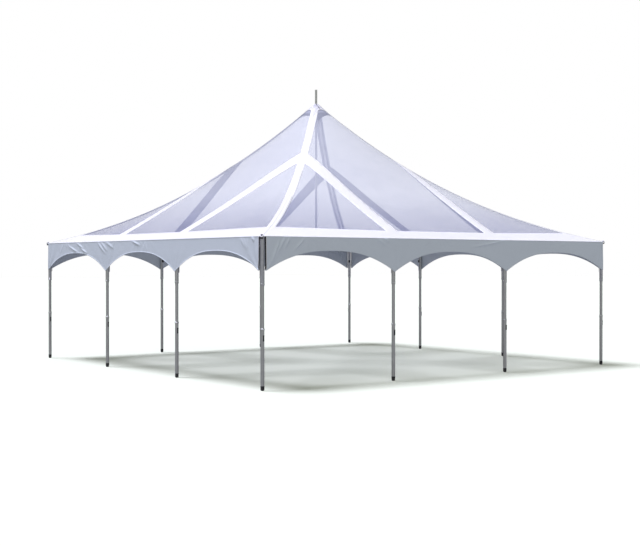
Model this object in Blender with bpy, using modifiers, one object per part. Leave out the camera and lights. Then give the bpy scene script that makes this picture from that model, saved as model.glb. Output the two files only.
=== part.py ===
"""Square frame tent with a high peak: tube legs, eave rails, film roof with white bands, scalloped valance.

Metres, +Z up. The origin is on the ground at the centre of the tent, and +Y runs from the front to the back.
"""

import math

import bmesh
import bpy
from mathutils import Matrix, Vector

# Driving dimensions, in metres
SPAN = 9.144  # between the leg lines of opposite sides
BAYS = 3  # gaps between the legs of one side
EAVE = 2.76  # top of the roof sheet at the eave
RISE = 3.26  # from the eave to the peak
MAST_TOP = 6.30
OVERHANG = 0.043  # of the roof sheet past the leg lines
GAP = 0.0003  # between pieces that touch
SIDES = 12  # facets round each tube

# Tubes of the frame
LEG_R = 0.03175
LOWER_LEG_R = 0.035
LOWER_LEG_TOP = 1.11
LOWER_LEG_COLLAR = Vector((0.038, 0.030))  # radius and height
LOWER_LEG_BORE_R = 0.0285
LEG_LAP = 0.26  # of the upper leg inside the lower one
WALL = 0.003
FOOT_R = 0.0365
FOOT_HEIGHT = 0.12
FOOT_FLAT_R = 0.027
FOOT_ROUND = 0.012
FOOT_SOLE = 0.025
RAIL_R = 0.03175
SLEEVE_R = 0.038
SLEEVE_BOTTOM = 1.87
SOCKET_R = 0.0375
SOCKET_REACH = 0.25
SOCKET_FLOOR = 0.06  # from the leg's axis to the end of a rail
LEG_SEAT_DROP = 0.045  # from the rail's axis down to the top of a leg

# Mast, its hub and the cables that carry it
MAST_R = 0.0254
MAST_COLLAR_R = 0.036
MAST_COLLAR_HEIGHT = 0.06
MAST_CAP = 0.006
HUB_R = 0.065
HUB_BOTTOM = 2.555
HUB_TOP = 2.685
HUB_FLOOR = 0.03
LUG_SIZE = Vector((0.10, 0.014, 0.05))
CORNER_LUG_Z = 2.69
HUB_LUG_Z = 2.60
CABLE_R = 0.004
TERMINAL_R = 0.009
TERMINAL_LENGTH = 0.16
CABLE_END_GAP = 0.0006

# Roof sheets
HIP_LINEAR = 0.44  # share of the rise that the hip gains in a straight line
HIP_POWER = 2.3
MIDDLE_LINEAR = 0.78
MIDDLE_POWER = 2.2
FILM_THICKNESS = 0.003
WEB_THICKNESS = 0.002
FILM_MARGIN = 0.02  # from the hip line to the film's edge, under the hip band
HIP_BAND = 0.17
RISER_BAND = 0.30  # the two bands that run up each face to its hips
RISER_X = 1.33  # from the middle of a face to their centre lines
EAVE_BAND = 0.38
CROWN_HALF = 0.24
ROOF_ROWS = 9  # between the eave band and the crown
MAST_CLEARANCE = 0.0005

# Valance
VALANCE_THICKNESS = 0.003
VALANCE_TIP = 2.105
VALANCE_ARCH = 2.50
ARCH_POWER = 2.4
ARCH_STEPS = 14
CORNER_SLIT = 0.08

HALF = SPAN / 2
EDGE = HALF + OVERHANG
BAY = SPAN / BAYS
FILM_BOTTOM = EAVE - FILM_THICKNESS
RAIL_Z = FILM_BOTTOM - GAP - SOCKET_R
BORE_R = LEG_R + GAP
LEG_SEAT = RAIL_Z - LEG_SEAT_DROP
MAST_HOLE = MAST_R + MAST_CLEARANCE
SIDE_NAMES = ("front", "right", "back", "left")

ALUMINIUM = ("aluminium", (0.52, 0.53, 0.53), 0.38, 1.0, 1.0)
CAST_FITTING = ("cast_fitting", (0.46, 0.47, 0.48), 0.45, 1.0, 1.0)
STEEL_CABLE = ("steel_cable", (0.55, 0.55, 0.56), 0.35, 1.0, 1.0)
WHITE_VINYL = ("white_vinyl", (0.92, 0.92, 0.95), 0.45, 0.0, 1.0)
VALANCE_VINYL = ("valance_vinyl", (0.80, 0.82, 0.86), 0.5, 0.0, 1.0)
CLEAR_FILM = ("clear_film", (0.80, 0.81, 0.94), 0.12, 0.0, 0.55)


def clear_scene():
    """Remove every object that is already in the file."""
    for item in list(bpy.data.objects):
        bpy.data.objects.remove(item, do_unlink=True)


def make_collection(name):
    """Make a collection and link it to the scene."""
    collection = bpy.data.collections.new(name)
    bpy.context.scene.collection.children.link(collection)
    return collection


def make_material(name, finish):
    """Make a piece's own Principled material from a finish."""
    kind, colour, roughness, metallic, alpha = finish
    material = bpy.data.materials.new(f"{name}_{kind}")
    material.use_nodes = True
    shader = material.node_tree.nodes["Principled BSDF"]
    shader.inputs["Base Color"].default_value = (*colour, 1.0)
    shader.inputs["Roughness"].default_value = roughness
    shader.inputs["Metallic"].default_value = metallic
    shader.inputs["Alpha"].default_value = alpha
    return material


def add_piece(name, data, finish, matrix=None):
    """Link one named sub-part of the tent, with its material and its place."""
    piece = bpy.data.objects.new(name, data)
    if matrix is not None:
        piece.matrix_world = matrix
    data.materials.append(make_material(name, finish))
    TENT.objects.link(piece)
    return piece


def side_turn(side):
    """The turn about +Z that takes the front side to the given one."""
    return Matrix.Rotation(math.radians(90.0 * side), 4, "Z")


def mesh_from(bm, name):
    """Write a bmesh to a new mesh, with its faces pointing out."""
    bm.normal_update()
    bmesh.ops.recalc_face_normals(bm, faces=bm.faces)
    mesh = bpy.data.meshes.new(name)
    bm.to_mesh(mesh)
    bm.free()
    return mesh


def shade_round(mesh):
    """Shade a round piece smooth, with its true edges sharp."""
    mesh.shade_smooth()
    mesh.set_sharp_from_angle(angle=math.radians(40.0))


def turned_piece(name, profile, finish, place, closed):
    """Turn a profile of (radius, height) points about a vertical axis."""
    mesh = bpy.data.meshes.new(name)
    last = len(profile) - 1
    edges = [(i, i + 1) for i in range(last)]
    if closed:
        edges.append((last, 0))
    mesh.from_pydata([(radius, 0.0, height) for radius, height in profile], edges, [])
    piece = add_piece(name, mesh, finish, Matrix.Translation(place))
    screw = piece.modifiers.new("turn", "SCREW")
    screw.steps = screw.render_steps = SIDES
    screw.use_merge_vertices = True
    screw.merge_threshold = 0.0001
    return piece


def rod(radius, start, end):
    """A solid cylinder between two points, as a mesh in world space."""
    start, end = Vector(start), Vector(end)
    axis = end - start
    bm = bmesh.new()
    bmesh.ops.create_cone(bm, cap_ends=True, segments=SIDES, radius1=radius, radius2=radius, depth=axis.length)
    turn = axis.to_track_quat("Z", "Y").to_matrix().to_4x4()
    bm.transform(Matrix.Translation((start + end) / 2) @ turn)
    return mesh_from(bm, "rod")


def block(size, centre, turn):
    """A box of the given size about a point, turned about +Z, as a mesh."""
    bm = bmesh.new()
    bmesh.ops.create_cube(bm, size=1.0)
    bm.transform(Matrix.Translation(centre) @ Matrix.Rotation(turn, 4, "Z") @ Matrix.Diagonal((*size, 1.0)))
    return mesh_from(bm, "block")


def combine(piece, mesh, operation):
    """Add a mesh to a piece, or cut it out of it, with a Boolean modifier."""
    tool = bpy.data.objects.new(f"{piece.name}_{operation.lower()}", mesh)
    tool.hide_render = True
    tool.display_type = "WIRE"
    tool.matrix_world = piece.matrix_world.copy()
    CUTTERS.objects.link(tool)
    cut = piece.modifiers.new(operation.lower(), "BOOLEAN")
    cut.operation = operation
    cut.solver = "EXACT"
    cut.object = tool


def leg_places():
    """The twelve places of the legs, anticlockwise from the front left corner."""
    front = [Vector((-HALF + BAY * i, -HALF, 0.0)) for i in range(BAYS)]
    return [side_turn(side) @ place for side in range(4) for place in front]


def make_legs():
    """Each leg: an upper tube that stands on a ledge inside the lower tube, which ends in a rubber foot."""
    ledge = LOWER_LEG_TOP - LEG_LAP
    upper = [
        (LEG_R - WALL, ledge + GAP),
        (LEG_R - WALL, LEG_SEAT - GAP),
        (LEG_R, LEG_SEAT - GAP),
        (LEG_R, ledge + GAP),
    ]
    collar_r, collar_height = LOWER_LEG_COLLAR
    lower = [
        (0.0, FOOT_SOLE),
        (LOWER_LEG_BORE_R, FOOT_SOLE),
        (LOWER_LEG_BORE_R, ledge),
        (BORE_R, ledge),
        (BORE_R, LOWER_LEG_TOP),
        (collar_r, LOWER_LEG_TOP),
        (collar_r, LOWER_LEG_TOP - collar_height),
        (LOWER_LEG_R, LOWER_LEG_TOP - collar_height),
        (LOWER_LEG_R, FOOT_HEIGHT),
        (FOOT_R, FOOT_HEIGHT),
        (FOOT_R, FOOT_ROUND),
        (FOOT_FLAT_R, 0.0),
        (0.0, 0.0),
    ]
    for number, place in enumerate(leg_places(), start=1):
        turned_piece(f"leg_lower_{number:02d}", lower, ALUMINIUM, place, closed=False)
        turned_piece(f"leg_upper_{number:02d}", upper, ALUMINIUM, place, closed=True)


def make_side_rail(side):
    """The eave tube of one side, with a tee socket and a long leg sleeve at each of its two middle legs."""
    name = f"side_rail_{SIDE_NAMES[side]}"
    reach = HALF - SOCKET_FLOOR - GAP
    mesh = rod(RAIL_R, (-reach, -HALF, RAIL_Z), (reach, -HALF, RAIL_Z))
    rail = add_piece(name, mesh, ALUMINIUM, side_turn(side))
    legs = [-HALF + BAY * i for i in range(1, BAYS)]
    for x in legs:
        socket = rod(SOCKET_R, (x - SOCKET_REACH, -HALF, RAIL_Z), (x + SOCKET_REACH, -HALF, RAIL_Z))
        combine(rail, socket, "UNION")
        combine(rail, rod(SLEEVE_R, (x, -HALF, SLEEVE_BOTTOM), (x, -HALF, RAIL_Z)), "UNION")
    bore = rod(RAIL_R - WALL, (-HALF, -HALF, RAIL_Z), (HALF, -HALF, RAIL_Z))
    combine(rail, bore, "DIFFERENCE")
    for x in legs:
        leg_bore = rod(BORE_R, (x, -HALF, SLEEVE_BOTTOM - WALL), (x, -HALF, LEG_SEAT))
        combine(rail, leg_bore, "DIFFERENCE")


def make_corner_fitting(side):
    """The three-way socket of a corner, with its long leg sleeve and the lug that holds a cable."""
    corner = Vector((-HALF, -HALF, 0.0))
    top = corner + Vector((0.0, 0.0, RAIL_Z))
    mesh = rod(SLEEVE_R, corner + Vector((0.0, 0.0, SLEEVE_BOTTOM)), top + Vector((0.0, 0.0, SOCKET_R / 2)))
    fitting = add_piece(f"corner_fitting_{side + 1}", mesh, CAST_FITTING, side_turn(side))
    inward = Vector((1.0, 1.0, 0.0)).normalized()
    lug_centre = corner + inward * (LUG_SIZE.x / 2) + Vector((0.0, 0.0, CORNER_LUG_Z))
    combine(fitting, block(LUG_SIZE, lug_centre, math.radians(45.0)), "UNION")
    for way in (Vector((1.0, 0.0, 0.0)), Vector((0.0, 1.0, 0.0))):
        combine(fitting, rod(SOCKET_R, top, top + way * SOCKET_REACH), "UNION")
        bore = rod(BORE_R, top + way * SOCKET_FLOOR, top + way * (SOCKET_REACH + WALL))
        combine(fitting, bore, "DIFFERENCE")
    leg_bore = rod(BORE_R, corner + Vector((0.0, 0.0, SLEEVE_BOTTOM - WALL)), corner + Vector((0.0, 0.0, LEG_SEAT)))
    combine(fitting, leg_bore, "DIFFERENCE")


def roof_height(x, y):
    """Height of the film's upper side over a place in plan: a sagging pyramid with rounder rows inside."""
    far, near = max(abs(x), abs(y)), min(abs(x), abs(y))
    inward = max(0.0, 1.0 - far / HALF)
    across = near / far
    hip = HIP_LINEAR * inward + (1.0 - HIP_LINEAR) * inward**HIP_POWER
    middle = MIDDLE_LINEAR * inward + (1.0 - MIDDLE_LINEAR) * inward**MIDDLE_POWER
    return EAVE + RISE * (middle - (middle - hip) * across**2)


def roof_plan():
    """The front face of the roof in plan, cut along the rows and along the edges of the bands."""
    bm = bmesh.new()
    outline = [(-EDGE, -EDGE), (EDGE, -EDGE), (MAST_HOLE, -MAST_HOLE), (-MAST_HOLE, -MAST_HOLE)]
    bm.faces.new([bm.verts.new((x, y, 0.0)) for x, y in outline])
    first = HALF - EAVE_BAND
    rows = [first + (CROWN_HALF - first) * i / ROOF_ROWS for i in range(ROOF_ROWS + 1)]
    cuts = [((0.0, -row, 0.0), (0.0, 1.0, 0.0)) for row in (HALF, *rows)]
    cuts.append(((0.0, 0.0, 0.0), (1.0, 0.0, 0.0)))
    for sign in (-1.0, 1.0):
        columns = (BAY / 4, RISER_X - RISER_BAND / 2, RISER_X + RISER_BAND / 2, BAY)
        cuts.extend(((sign * column, 0.0, 0.0), (1.0, 0.0, 0.0)) for column in columns)
        along_hip = Vector((1.0, sign, 0.0)).normalized()
        cuts.extend((along_hip * -sign * offset, along_hip) for offset in (FILM_MARGIN, HIP_BAND / 2))
    for point, normal in cuts:
        geometry = bm.verts[:] + bm.edges[:] + bm.faces[:]
        bmesh.ops.bisect_plane(bm, geom=geometry, dist=0.00001, plane_co=point, plane_no=normal)
    return bm


def hip_distance(centre):
    """Distance in plan from a face of the front side to the nearer hip line."""
    return (abs(centre.y) - abs(centre.x)) / math.sqrt(2.0)


def is_film(centre):
    """Whether the film covers a facet: all but a strip along each hip, under the hip band."""
    return hip_distance(centre) > FILM_MARGIN


def is_web(centre):
    """Whether a white band covers a facet."""
    on_eave = -centre.y > HALF - EAVE_BAND
    on_riser = abs(abs(centre.x) - RISER_X) < RISER_BAND / 2
    on_hip = hip_distance(centre) < HIP_BAND / 2
    return on_eave or on_riser or on_hip or is_crown(centre)


def is_crown(centre):
    """Whether the crown cap covers a facet."""
    return -centre.y < CROWN_HALF


def roof_sheet(covers, sides, bottom, thickness):
    """A closed sheet over the facets that a rule picks, lifted to the roof and given its thickness upwards."""
    bm = bmesh.new()
    for side in sides:
        plan = roof_plan()
        unused = [face for face in plan.faces if not covers(face.calc_center_median())]
        bmesh.ops.delete(plan, geom=unused, context="FACES")
        bmesh.ops.triangulate(plan, faces=plan.faces)
        plan.transform(side_turn(side))
        part = bpy.data.meshes.new("plan")
        plan.to_mesh(part)
        plan.free()
        bm.from_mesh(part)
        bpy.data.meshes.remove(part)
    bmesh.ops.remove_doubles(bm, verts=bm.verts, dist=0.00002)
    for vertex in bm.verts:
        vertex.co.z = roof_height(vertex.co.x, vertex.co.y) + bottom
    copied = bmesh.ops.extrude_face_region(bm, geom=bm.faces[:])
    top = [item for item in copied["geom"] if isinstance(item, bmesh.types.BMVert)]
    bmesh.ops.translate(bm, verts=top, vec=(0.0, 0.0, thickness))
    return mesh_from(bm, "sheet")


def make_roof():
    """The four film faces, the web of white bands on them and the crown cap on the web."""
    for side, name in enumerate(SIDE_NAMES):
        sheet = roof_sheet(is_film, [side], -FILM_THICKNESS, FILM_THICKNESS)
        add_piece(f"roof_film_{name}", sheet, CLEAR_FILM)
    web = roof_sheet(is_web, range(4), GAP, WEB_THICKNESS)
    add_piece("band_web", web, WHITE_VINYL)
    crown = roof_sheet(is_crown, range(4), WEB_THICKNESS + 2 * GAP, WEB_THICKNESS)
    add_piece("crown", crown, WHITE_VINYL)


def valance_outline():
    """The outline of one valance, in its own plane: a straight top and an arch over each bay."""
    end = EDGE - CORNER_SLIT
    top = FILM_BOTTOM - GAP
    points = [(-end, top), (end, top)]
    for bay in reversed(range(BAYS)):
        centre = -HALF + BAY * (bay + 0.5)
        for step in range(ARCH_STEPS + 1):
            across = math.cos(math.pi * step / ARCH_STEPS)
            height = VALANCE_ARCH - (VALANCE_ARCH - VALANCE_TIP) * abs(across) ** ARCH_POWER
            if step or bay == BAYS - 1:
                points.append((max(-end, min(end, centre + across * BAY / 2)), height))
    return points


def make_valance(side):
    """The scalloped cloth below the eave of one side, between the slits at its corners."""
    curve = bpy.data.curves.new("valance", "CURVE")
    curve.dimensions = "2D"
    curve.fill_mode = "BOTH"
    curve.extrude = VALANCE_THICKNESS / 2
    outline = valance_outline()
    spline = curve.splines.new("POLY")
    spline.points.add(len(outline) - 1)
    for point, (x, z) in zip(spline.points, outline):
        point.co = (x, z, 0.0, 1.0)
    spline.use_cyclic_u = True
    stand_up = Matrix.Rotation(math.radians(90.0), 4, "X")
    place = Matrix.Translation((0.0, -EDGE + VALANCE_THICKNESS / 2, 0.0))
    add_piece(f"valance_{SIDE_NAMES[side]}", curve, VALANCE_VINYL, side_turn(side) @ place @ stand_up)


def make_mast():
    """The short mast, with the collar that the roof hangs on, closed at its top."""
    inner = MAST_R - WALL
    foot = HUB_BOTTOM + HUB_FLOOR + GAP
    sheet_bottom = min(roof_height(MAST_COLLAR_R, 0.0), roof_height(MAST_COLLAR_R, MAST_COLLAR_R)) - FILM_THICKNESS
    collar_top = sheet_bottom - GAP
    profile = [
        (0.0, MAST_TOP - MAST_CAP),
        (inner, MAST_TOP - MAST_CAP),
        (inner, foot),
        (MAST_R, foot),
        (MAST_R, collar_top - MAST_COLLAR_HEIGHT),
        (MAST_COLLAR_R, collar_top - MAST_COLLAR_HEIGHT),
        (MAST_COLLAR_R, collar_top),
        (MAST_R, collar_top),
        (MAST_R, MAST_TOP),
        (0.0, MAST_TOP),
    ]
    turned_piece("mast", profile[::-1], ALUMINIUM, Vector(), closed=False)


def make_mast_hub():
    """The cup that the mast stands in, with a lug for each cable."""
    mesh = rod(HUB_R, (0.0, 0.0, HUB_BOTTOM), (0.0, 0.0, HUB_TOP))
    hub = add_piece("mast_hub", mesh, CAST_FITTING)
    for corner in range(4):
        turn = math.radians(45.0 + 90.0 * corner)
        centre = Vector((math.cos(turn), math.sin(turn), 0.0)) * (HUB_R + LUG_SIZE.x / 4)
        combine(hub, block(LUG_SIZE, centre + Vector((0.0, 0.0, HUB_LUG_Z)), turn), "UNION")
    bore = rod(MAST_R + GAP, (0.0, 0.0, HUB_BOTTOM + HUB_FLOOR), (0.0, 0.0, HUB_TOP + WALL))
    combine(hub, bore, "DIFFERENCE")


def make_cable(side):
    """One taut cable with a swaged terminal at each end, from a corner fitting's lug to the hub's."""
    inward = Vector((1.0, 1.0, 0.0)).normalized()
    corner = Vector((-HALF, -HALF, CORNER_LUG_Z))
    start = corner + inward * (LUG_SIZE.x + CABLE_END_GAP)
    end = Vector((0.0, 0.0, HUB_LUG_Z)) - inward * (HUB_R + LUG_SIZE.x * 0.75 + CABLE_END_GAP)
    way = (end - start).normalized()
    taper = TERMINAL_R
    stops = [(0.0, TERMINAL_R), (TERMINAL_LENGTH, TERMINAL_R), (TERMINAL_LENGTH + taper, CABLE_R)]
    length = (end - start).length
    stops += [(length - along, radius) for along, radius in reversed(stops)]
    curve = bpy.data.curves.new("cable", "CURVE")
    curve.dimensions = "3D"
    curve.bevel_depth = CABLE_R
    curve.bevel_resolution = 2
    curve.use_fill_caps = True
    spline = curve.splines.new("POLY")
    spline.points.add(len(stops) - 1)
    for point, (along, radius) in zip(spline.points, stops):
        point.co = (*(start + way * along), 1.0)
        point.radius = radius / CABLE_R
    add_piece(f"cable_{side + 1}", curve, STEEL_CABLE, side_turn(side))


def shade_pieces():
    """Shade the round pieces that are meshes smooth."""
    for piece in TENT.objects:
        if piece.type == "MESH" and not piece.name.startswith(("roof_film", "band_web", "crown")):
            shade_round(piece.data)


def main():
    """Build the tent."""
    make_legs()
    for side in range(4):
        make_side_rail(side)
        make_corner_fitting(side)
        make_cable(side)
        make_valance(side)
    make_roof()
    make_mast()
    make_mast_hub()
    shade_pieces()


clear_scene()
TENT = make_collection("marquee_tent")
CUTTERS = make_collection("cutters")
main()
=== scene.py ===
"""Looks of a square high-peak frame tent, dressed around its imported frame.

Metres, +Z up. The tent stands on the ground at the origin, and +Y runs from the front side to the back side.
"""

import logging
import math
import random
from dataclasses import dataclass
from enum import Enum
from typing import Any, Callable, Iterable, Mapping, Sequence

import bmesh
import bpy
from mathutils import Matrix, Vector


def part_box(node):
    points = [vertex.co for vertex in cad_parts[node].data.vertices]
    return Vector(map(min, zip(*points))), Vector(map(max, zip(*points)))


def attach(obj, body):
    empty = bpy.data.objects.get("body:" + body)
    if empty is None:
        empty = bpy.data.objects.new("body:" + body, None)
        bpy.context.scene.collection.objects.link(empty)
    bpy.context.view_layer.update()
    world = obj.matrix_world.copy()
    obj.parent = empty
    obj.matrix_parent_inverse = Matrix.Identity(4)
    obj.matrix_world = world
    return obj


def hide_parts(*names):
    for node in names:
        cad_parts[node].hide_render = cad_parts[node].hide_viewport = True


LOG = logging.getLogger("tent")
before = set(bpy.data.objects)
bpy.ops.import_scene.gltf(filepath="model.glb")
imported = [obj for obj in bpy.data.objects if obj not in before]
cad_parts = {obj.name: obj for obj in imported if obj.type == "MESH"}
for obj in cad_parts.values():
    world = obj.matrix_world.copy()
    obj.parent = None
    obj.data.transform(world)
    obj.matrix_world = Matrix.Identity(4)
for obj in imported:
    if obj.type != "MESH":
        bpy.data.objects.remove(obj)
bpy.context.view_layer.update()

BODY = "root"
SIDE_NAMES = ("front", "right", "back", "left")
BAYS = 3
WELD = 0.000001  # vertices of a form nearer than this are one
SHEET_WELD = 0.00002  # and those of the sheets' four faces
VALANCE_SHADE_TONES = ((0.79, 0.865, 0.92), (0.69, 0.765, 0.82))  # white vinyl darkened and blued as painted shade, clean and worn
HEM_TONES = ((0.93, 0.95, 0.97), (0.86, 0.88, 0.91))
SEAM_TONES = ((0.84, 0.84, 0.84), (0.76, 0.76, 0.76))
BAND_TONES = ((0.97, 0.97, 0.93), (0.90, 0.90, 0.88))
# The crown's second, dark grey tone is its wear and the painted shade inside its hem.
CROWN_WHITE_AND_SHADE_TONES = ((0.95, 0.95, 0.95), (0.46, 0.46, 0.52))
# A dark sheet under the film round the mast, as painted shade.
SHADE_PATCH_TONES = ((0.24, 0.24, 0.28), (0.20, 0.20, 0.24))

Bm = bmesh.types.BMesh
Point = tuple[float, float]
Colour = Sequence[float] | bpy.types.NodeSocket


class Slot(Enum):
    """The record's material slots."""

    TUBE = "tube_aluminium"
    CASTING = "cast_fitting"
    CABLE = "steel_cable"
    FILM = "clear_film"
    WHITE = "white_vinyl"
    VALANCE = "valance_vinyl"
    RUBBER = "black_rubber"
    PLASTIC = "black_plastic"
    WEBBING = "white_webbing"
    ZINC = "zinc_hardware"


class Join(Enum):
    """What a Boolean does with its tool."""

    ADD = "UNION"
    CUT = "DIFFERENCE"


# Shader maths


class Value:
    """A number that varies over a surface: the output of a shader node, used in Python expressions."""

    def __init__(self, nodes: "Nodes", socket: bpy.types.NodeSocket) -> None:
        """Wrap one output socket.

        Args:
            nodes: The tree that the socket is in.
            socket: The output socket.
        """
        self.nodes = nodes
        self.socket = socket

    def __add__(self, other: "Value | float") -> "Value":
        """Self plus other."""
        return self.nodes.math("ADD", self, other)

    def __sub__(self, other: "Value | float") -> "Value":
        """Self minus other."""
        return self.nodes.math("SUBTRACT", self, other)

    def __rsub__(self, other: float) -> "Value":
        """Other minus self."""
        return self.nodes.math("SUBTRACT", other, self)

    def __mul__(self, other: "Value | float") -> "Value":
        """Self times other."""
        return self.nodes.math("MULTIPLY", self, other)

    def __truediv__(self, other: "Value | float") -> "Value":
        """Self divided by other."""
        return self.nodes.math("DIVIDE", self, other)

    def __pow__(self, other: "Value | float") -> "Value":
        """Self to the power of other."""
        return self.nodes.math("POWER", self, other)

    def __abs__(self) -> "Value":
        """Self without its sign."""
        return self.nodes.math("ABSOLUTE", self)

    __radd__ = __add__
    __rmul__ = __mul__

    def sine(self) -> "Value":
        """The sine of self, in radians."""
        return self.nodes.math("SINE", self)

    def lowest(self, other: "Value | float") -> "Value":
        """The smaller of self and other."""
        return self.nodes.math("MINIMUM", self, other)

    def highest(self, other: "Value | float") -> "Value":
        """The larger of self and other."""
        return self.nodes.math("MAXIMUM", self, other)

    def clamped(self) -> "Value":
        """Self, kept from 0 to 1."""
        return self.lowest(1.0).highest(0.0)

    def line(self, at: float, width: float) -> "Value":
        """A soft line, 1 where self is a given number, that fades out over a width on both sides."""
        return (1.0 - abs(self - at) / width).clamped()

    def above(self, start: float, end: float) -> "Value":
        """A ramp that rises from 0 at start to 1 at end."""
        return ((self - start) / (end - start)).clamped()


class Nodes:
    """The nodes of a material or a world."""

    def __init__(self, tree: bpy.types.NodeTree) -> None:
        """Work in a tree.

        Args:
            tree: The node tree to fill.
        """
        self.tree = tree

    def node(self, kind: str, settings: Mapping[str, Any], inputs: Mapping[str | int, Any]) -> bpy.types.Node:
        """Add any node.

        Args:
            kind: The node's type.
            settings: Its settings, which are set first.
            inputs: A value or a link for each socket that isn't at its default.

        Returns:
            The new node.
        """
        node = self.tree.nodes.new(kind)
        for name, setting in settings.items():
            setattr(node, name, setting)
        for key, item in inputs.items():
            if isinstance(item, Value):
                self.tree.links.new(item.socket, node.inputs[key])
            elif isinstance(item, bpy.types.NodeSocket):
                self.tree.links.new(item, node.inputs[key])
            else:
                node.inputs[key].default_value = item
        return node

    def math(self, operation: str, *operands: "Value | float") -> Value:
        """Add one Math node.

        Args:
            operation: What it does.
            *operands: Its one or two operands.

        Returns:
            Its result.
        """
        node = self.node("ShaderNodeMath", {"operation": operation}, dict(enumerate(operands)))
        return Value(self, node.outputs[0])

    def place(self) -> tuple[Value, Value, Value]:
        """The surface's place in the tent's own frame, as x, y and z."""
        coordinates = self.node("ShaderNodeTexCoord", {}, {})
        split = self.node("ShaderNodeSeparateXYZ", {}, {0: coordinates.outputs["Object"]})
        return tuple(Value(self, split.outputs[i]) for i in range(3))

    def noise(self, scale: float, detail: float = 3.0, stretch: Sequence[float] = (1.0, 1.0, 1.0)) -> Value:
        """A noise pattern on the tent's own frame.

        Args:
            scale: Its features per metre.
            detail: Its octaves.
            stretch: A factor on the scale along each axis.

        Returns:
            The noise, about 0.5.
        """
        coordinates = self.node("ShaderNodeTexCoord", {}, {})
        stretched = {"Vector": coordinates.outputs["Object"], "Scale": stretch}
        mapping = self.node("ShaderNodeMapping", {}, stretched)
        texture = {"Vector": mapping.outputs[0], "Scale": scale, "Detail": detail}
        return Value(self, self.node("ShaderNodeTexNoise", {}, texture).outputs[0])

    def mix(
        self, share: "Value | bpy.types.NodeSocket | float", low: Colour, high: Colour
    ) -> bpy.types.NodeSocket:
        """Blend two colours.

        Args:
            share: How much of the second colour.
            low: The first colour, as numbers or a socket.
            high: The second colour, as numbers or a socket.

        Returns:
            The blended colour's socket.
        """
        colours = [item if isinstance(item, bpy.types.NodeSocket) else (*item, 1.0) for item in (low, high)]
        inputs = {0: share, 6: colours[0], 7: colours[1]}
        return self.node("ShaderNodeMix", {"data_type": "RGBA"}, inputs).outputs[2]


class Shader(Nodes):
    """One material and its Principled shader."""

    def __init__(self, name: str) -> None:
        """Make an empty material.

        Args:
            name: The material's name.
        """
        self.material = bpy.data.materials.new(name)
        self.material.use_nodes = True
        super().__init__(self.material.node_tree)
        self.surface = self.tree.nodes["Principled BSDF"]

    def dress(self, inputs: Mapping[str, Any], height: Value | None = None, relief: float = 0.001) -> None:
        """Set the Principled shader's sockets.

        Args:
            inputs: A value or a link for each socket.
            height: The relief's height, from 0 to 1.
            relief: The relief's depth, in metres.
        """
        for key, item in inputs.items():
            if isinstance(item, (Value, bpy.types.NodeSocket)):
                self.tree.links.new(getattr(item, "socket", item), self.surface.inputs[key])
            else:
                self.surface.inputs[key].default_value = item
        if height is not None:
            bump = self.node("ShaderNodeBump", {}, {"Height": height, "Distance": relief, "Strength": 1.0})
            self.tree.links.new(bump.outputs[0], self.surface.inputs["Normal"])


# The tent's sizes, read from the frame


@dataclass(frozen=True)
class TentSize:
    """The main sizes of the tent."""

    half: float  # from the middle to a leg line
    edge: float  # from the middle to the roof's edge
    eave: float
    peak: float
    leg_top: float
    leg_radius: float
    sleeve_radius: float
    sleeve_bottom: float
    rail_z: float
    valance_top: float
    valance_tip: float

    @classmethod
    def from_frame(cls) -> "TentSize":
        """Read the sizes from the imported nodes' boxes."""
        leg_low, leg_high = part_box("leg_upper_01")
        rail_low, rail_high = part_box("side_rail_front")
        web_low, web_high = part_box("band_web")
        valance_low, valance_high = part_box("valance_front")
        film_gap = 0.003
        sleeve_radius = (rail_high.y - rail_low.y) / 2
        return cls(
            half=-(leg_low.x + leg_high.x) / 2,
            edge=web_high.x,
            eave=web_low.z,
            peak=web_high.z - film_gap,
            leg_top=leg_high.z,
            leg_radius=(leg_high.x - leg_low.x) / 2,
            sleeve_radius=sleeve_radius,
            sleeve_bottom=rail_low.z,
            rail_z=rail_high.z - sleeve_radius,
            valance_top=valance_high.z,
            valance_tip=valance_low.z,
        )

    @property
    def bay(self) -> float:
        """The distance between two legs of a side."""
        return 2.0 * self.half / BAYS

    def leg_places(self) -> list[tuple[int, Matrix]]:
        """Each leg's number and place, turned so that its -Y side faces out of the tent."""
        places = []
        for side in range(4):
            for bay in range(BAYS):
                spot = Matrix.Translation((-self.half + self.bay * bay, -self.half, 0.0))
                places.append((side * BAYS + bay + 1, side_turn(side) @ spot))
        return places


def side_turn(side: int) -> Matrix:
    """The turn about +Z that takes the front side to the given one."""
    return Matrix.Rotation(math.radians(90.0 * side), 4, "Z")


# Finishes


@dataclass(frozen=True)
class DrawnTube:
    """Mill-finish aluminium tube, with fine lines along it and light scuffs."""

    along: str = "Z"
    slot: Slot = Slot.TUBE
    bright: Sequence[float] = (0.69, 0.70, 0.66)
    dull: Sequence[float] = (0.47, 0.48, 0.455)

    def material(self) -> bpy.types.Material:
        """Make the material."""
        shader = Shader(f"drawn_tube_{self.along.lower()}")
        fine, coarse = 260.0, 2.0
        stretch = [coarse if axis == self.along else fine for axis in "XYZ"]
        lines = shader.noise(1.0, 2.0, stretch)
        clouds = shader.noise(5.0, 4.0)
        scuffs = shader.noise(55.0, 5.0).above(0.60, 0.72)
        tone = (lines * 0.5 + clouds * 0.5 - scuffs * 0.25).clamped()
        shader.dress(
            {
                "Base Color": shader.mix(tone, self.dull, self.bright),
                "Metallic": 1.0,
                "Roughness": clouds * 0.16 + scuffs * 0.15 + 0.27,
            },
            height=lines + scuffs * 0.4,
            relief=0.0002,
        )
        return shader.material


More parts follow.
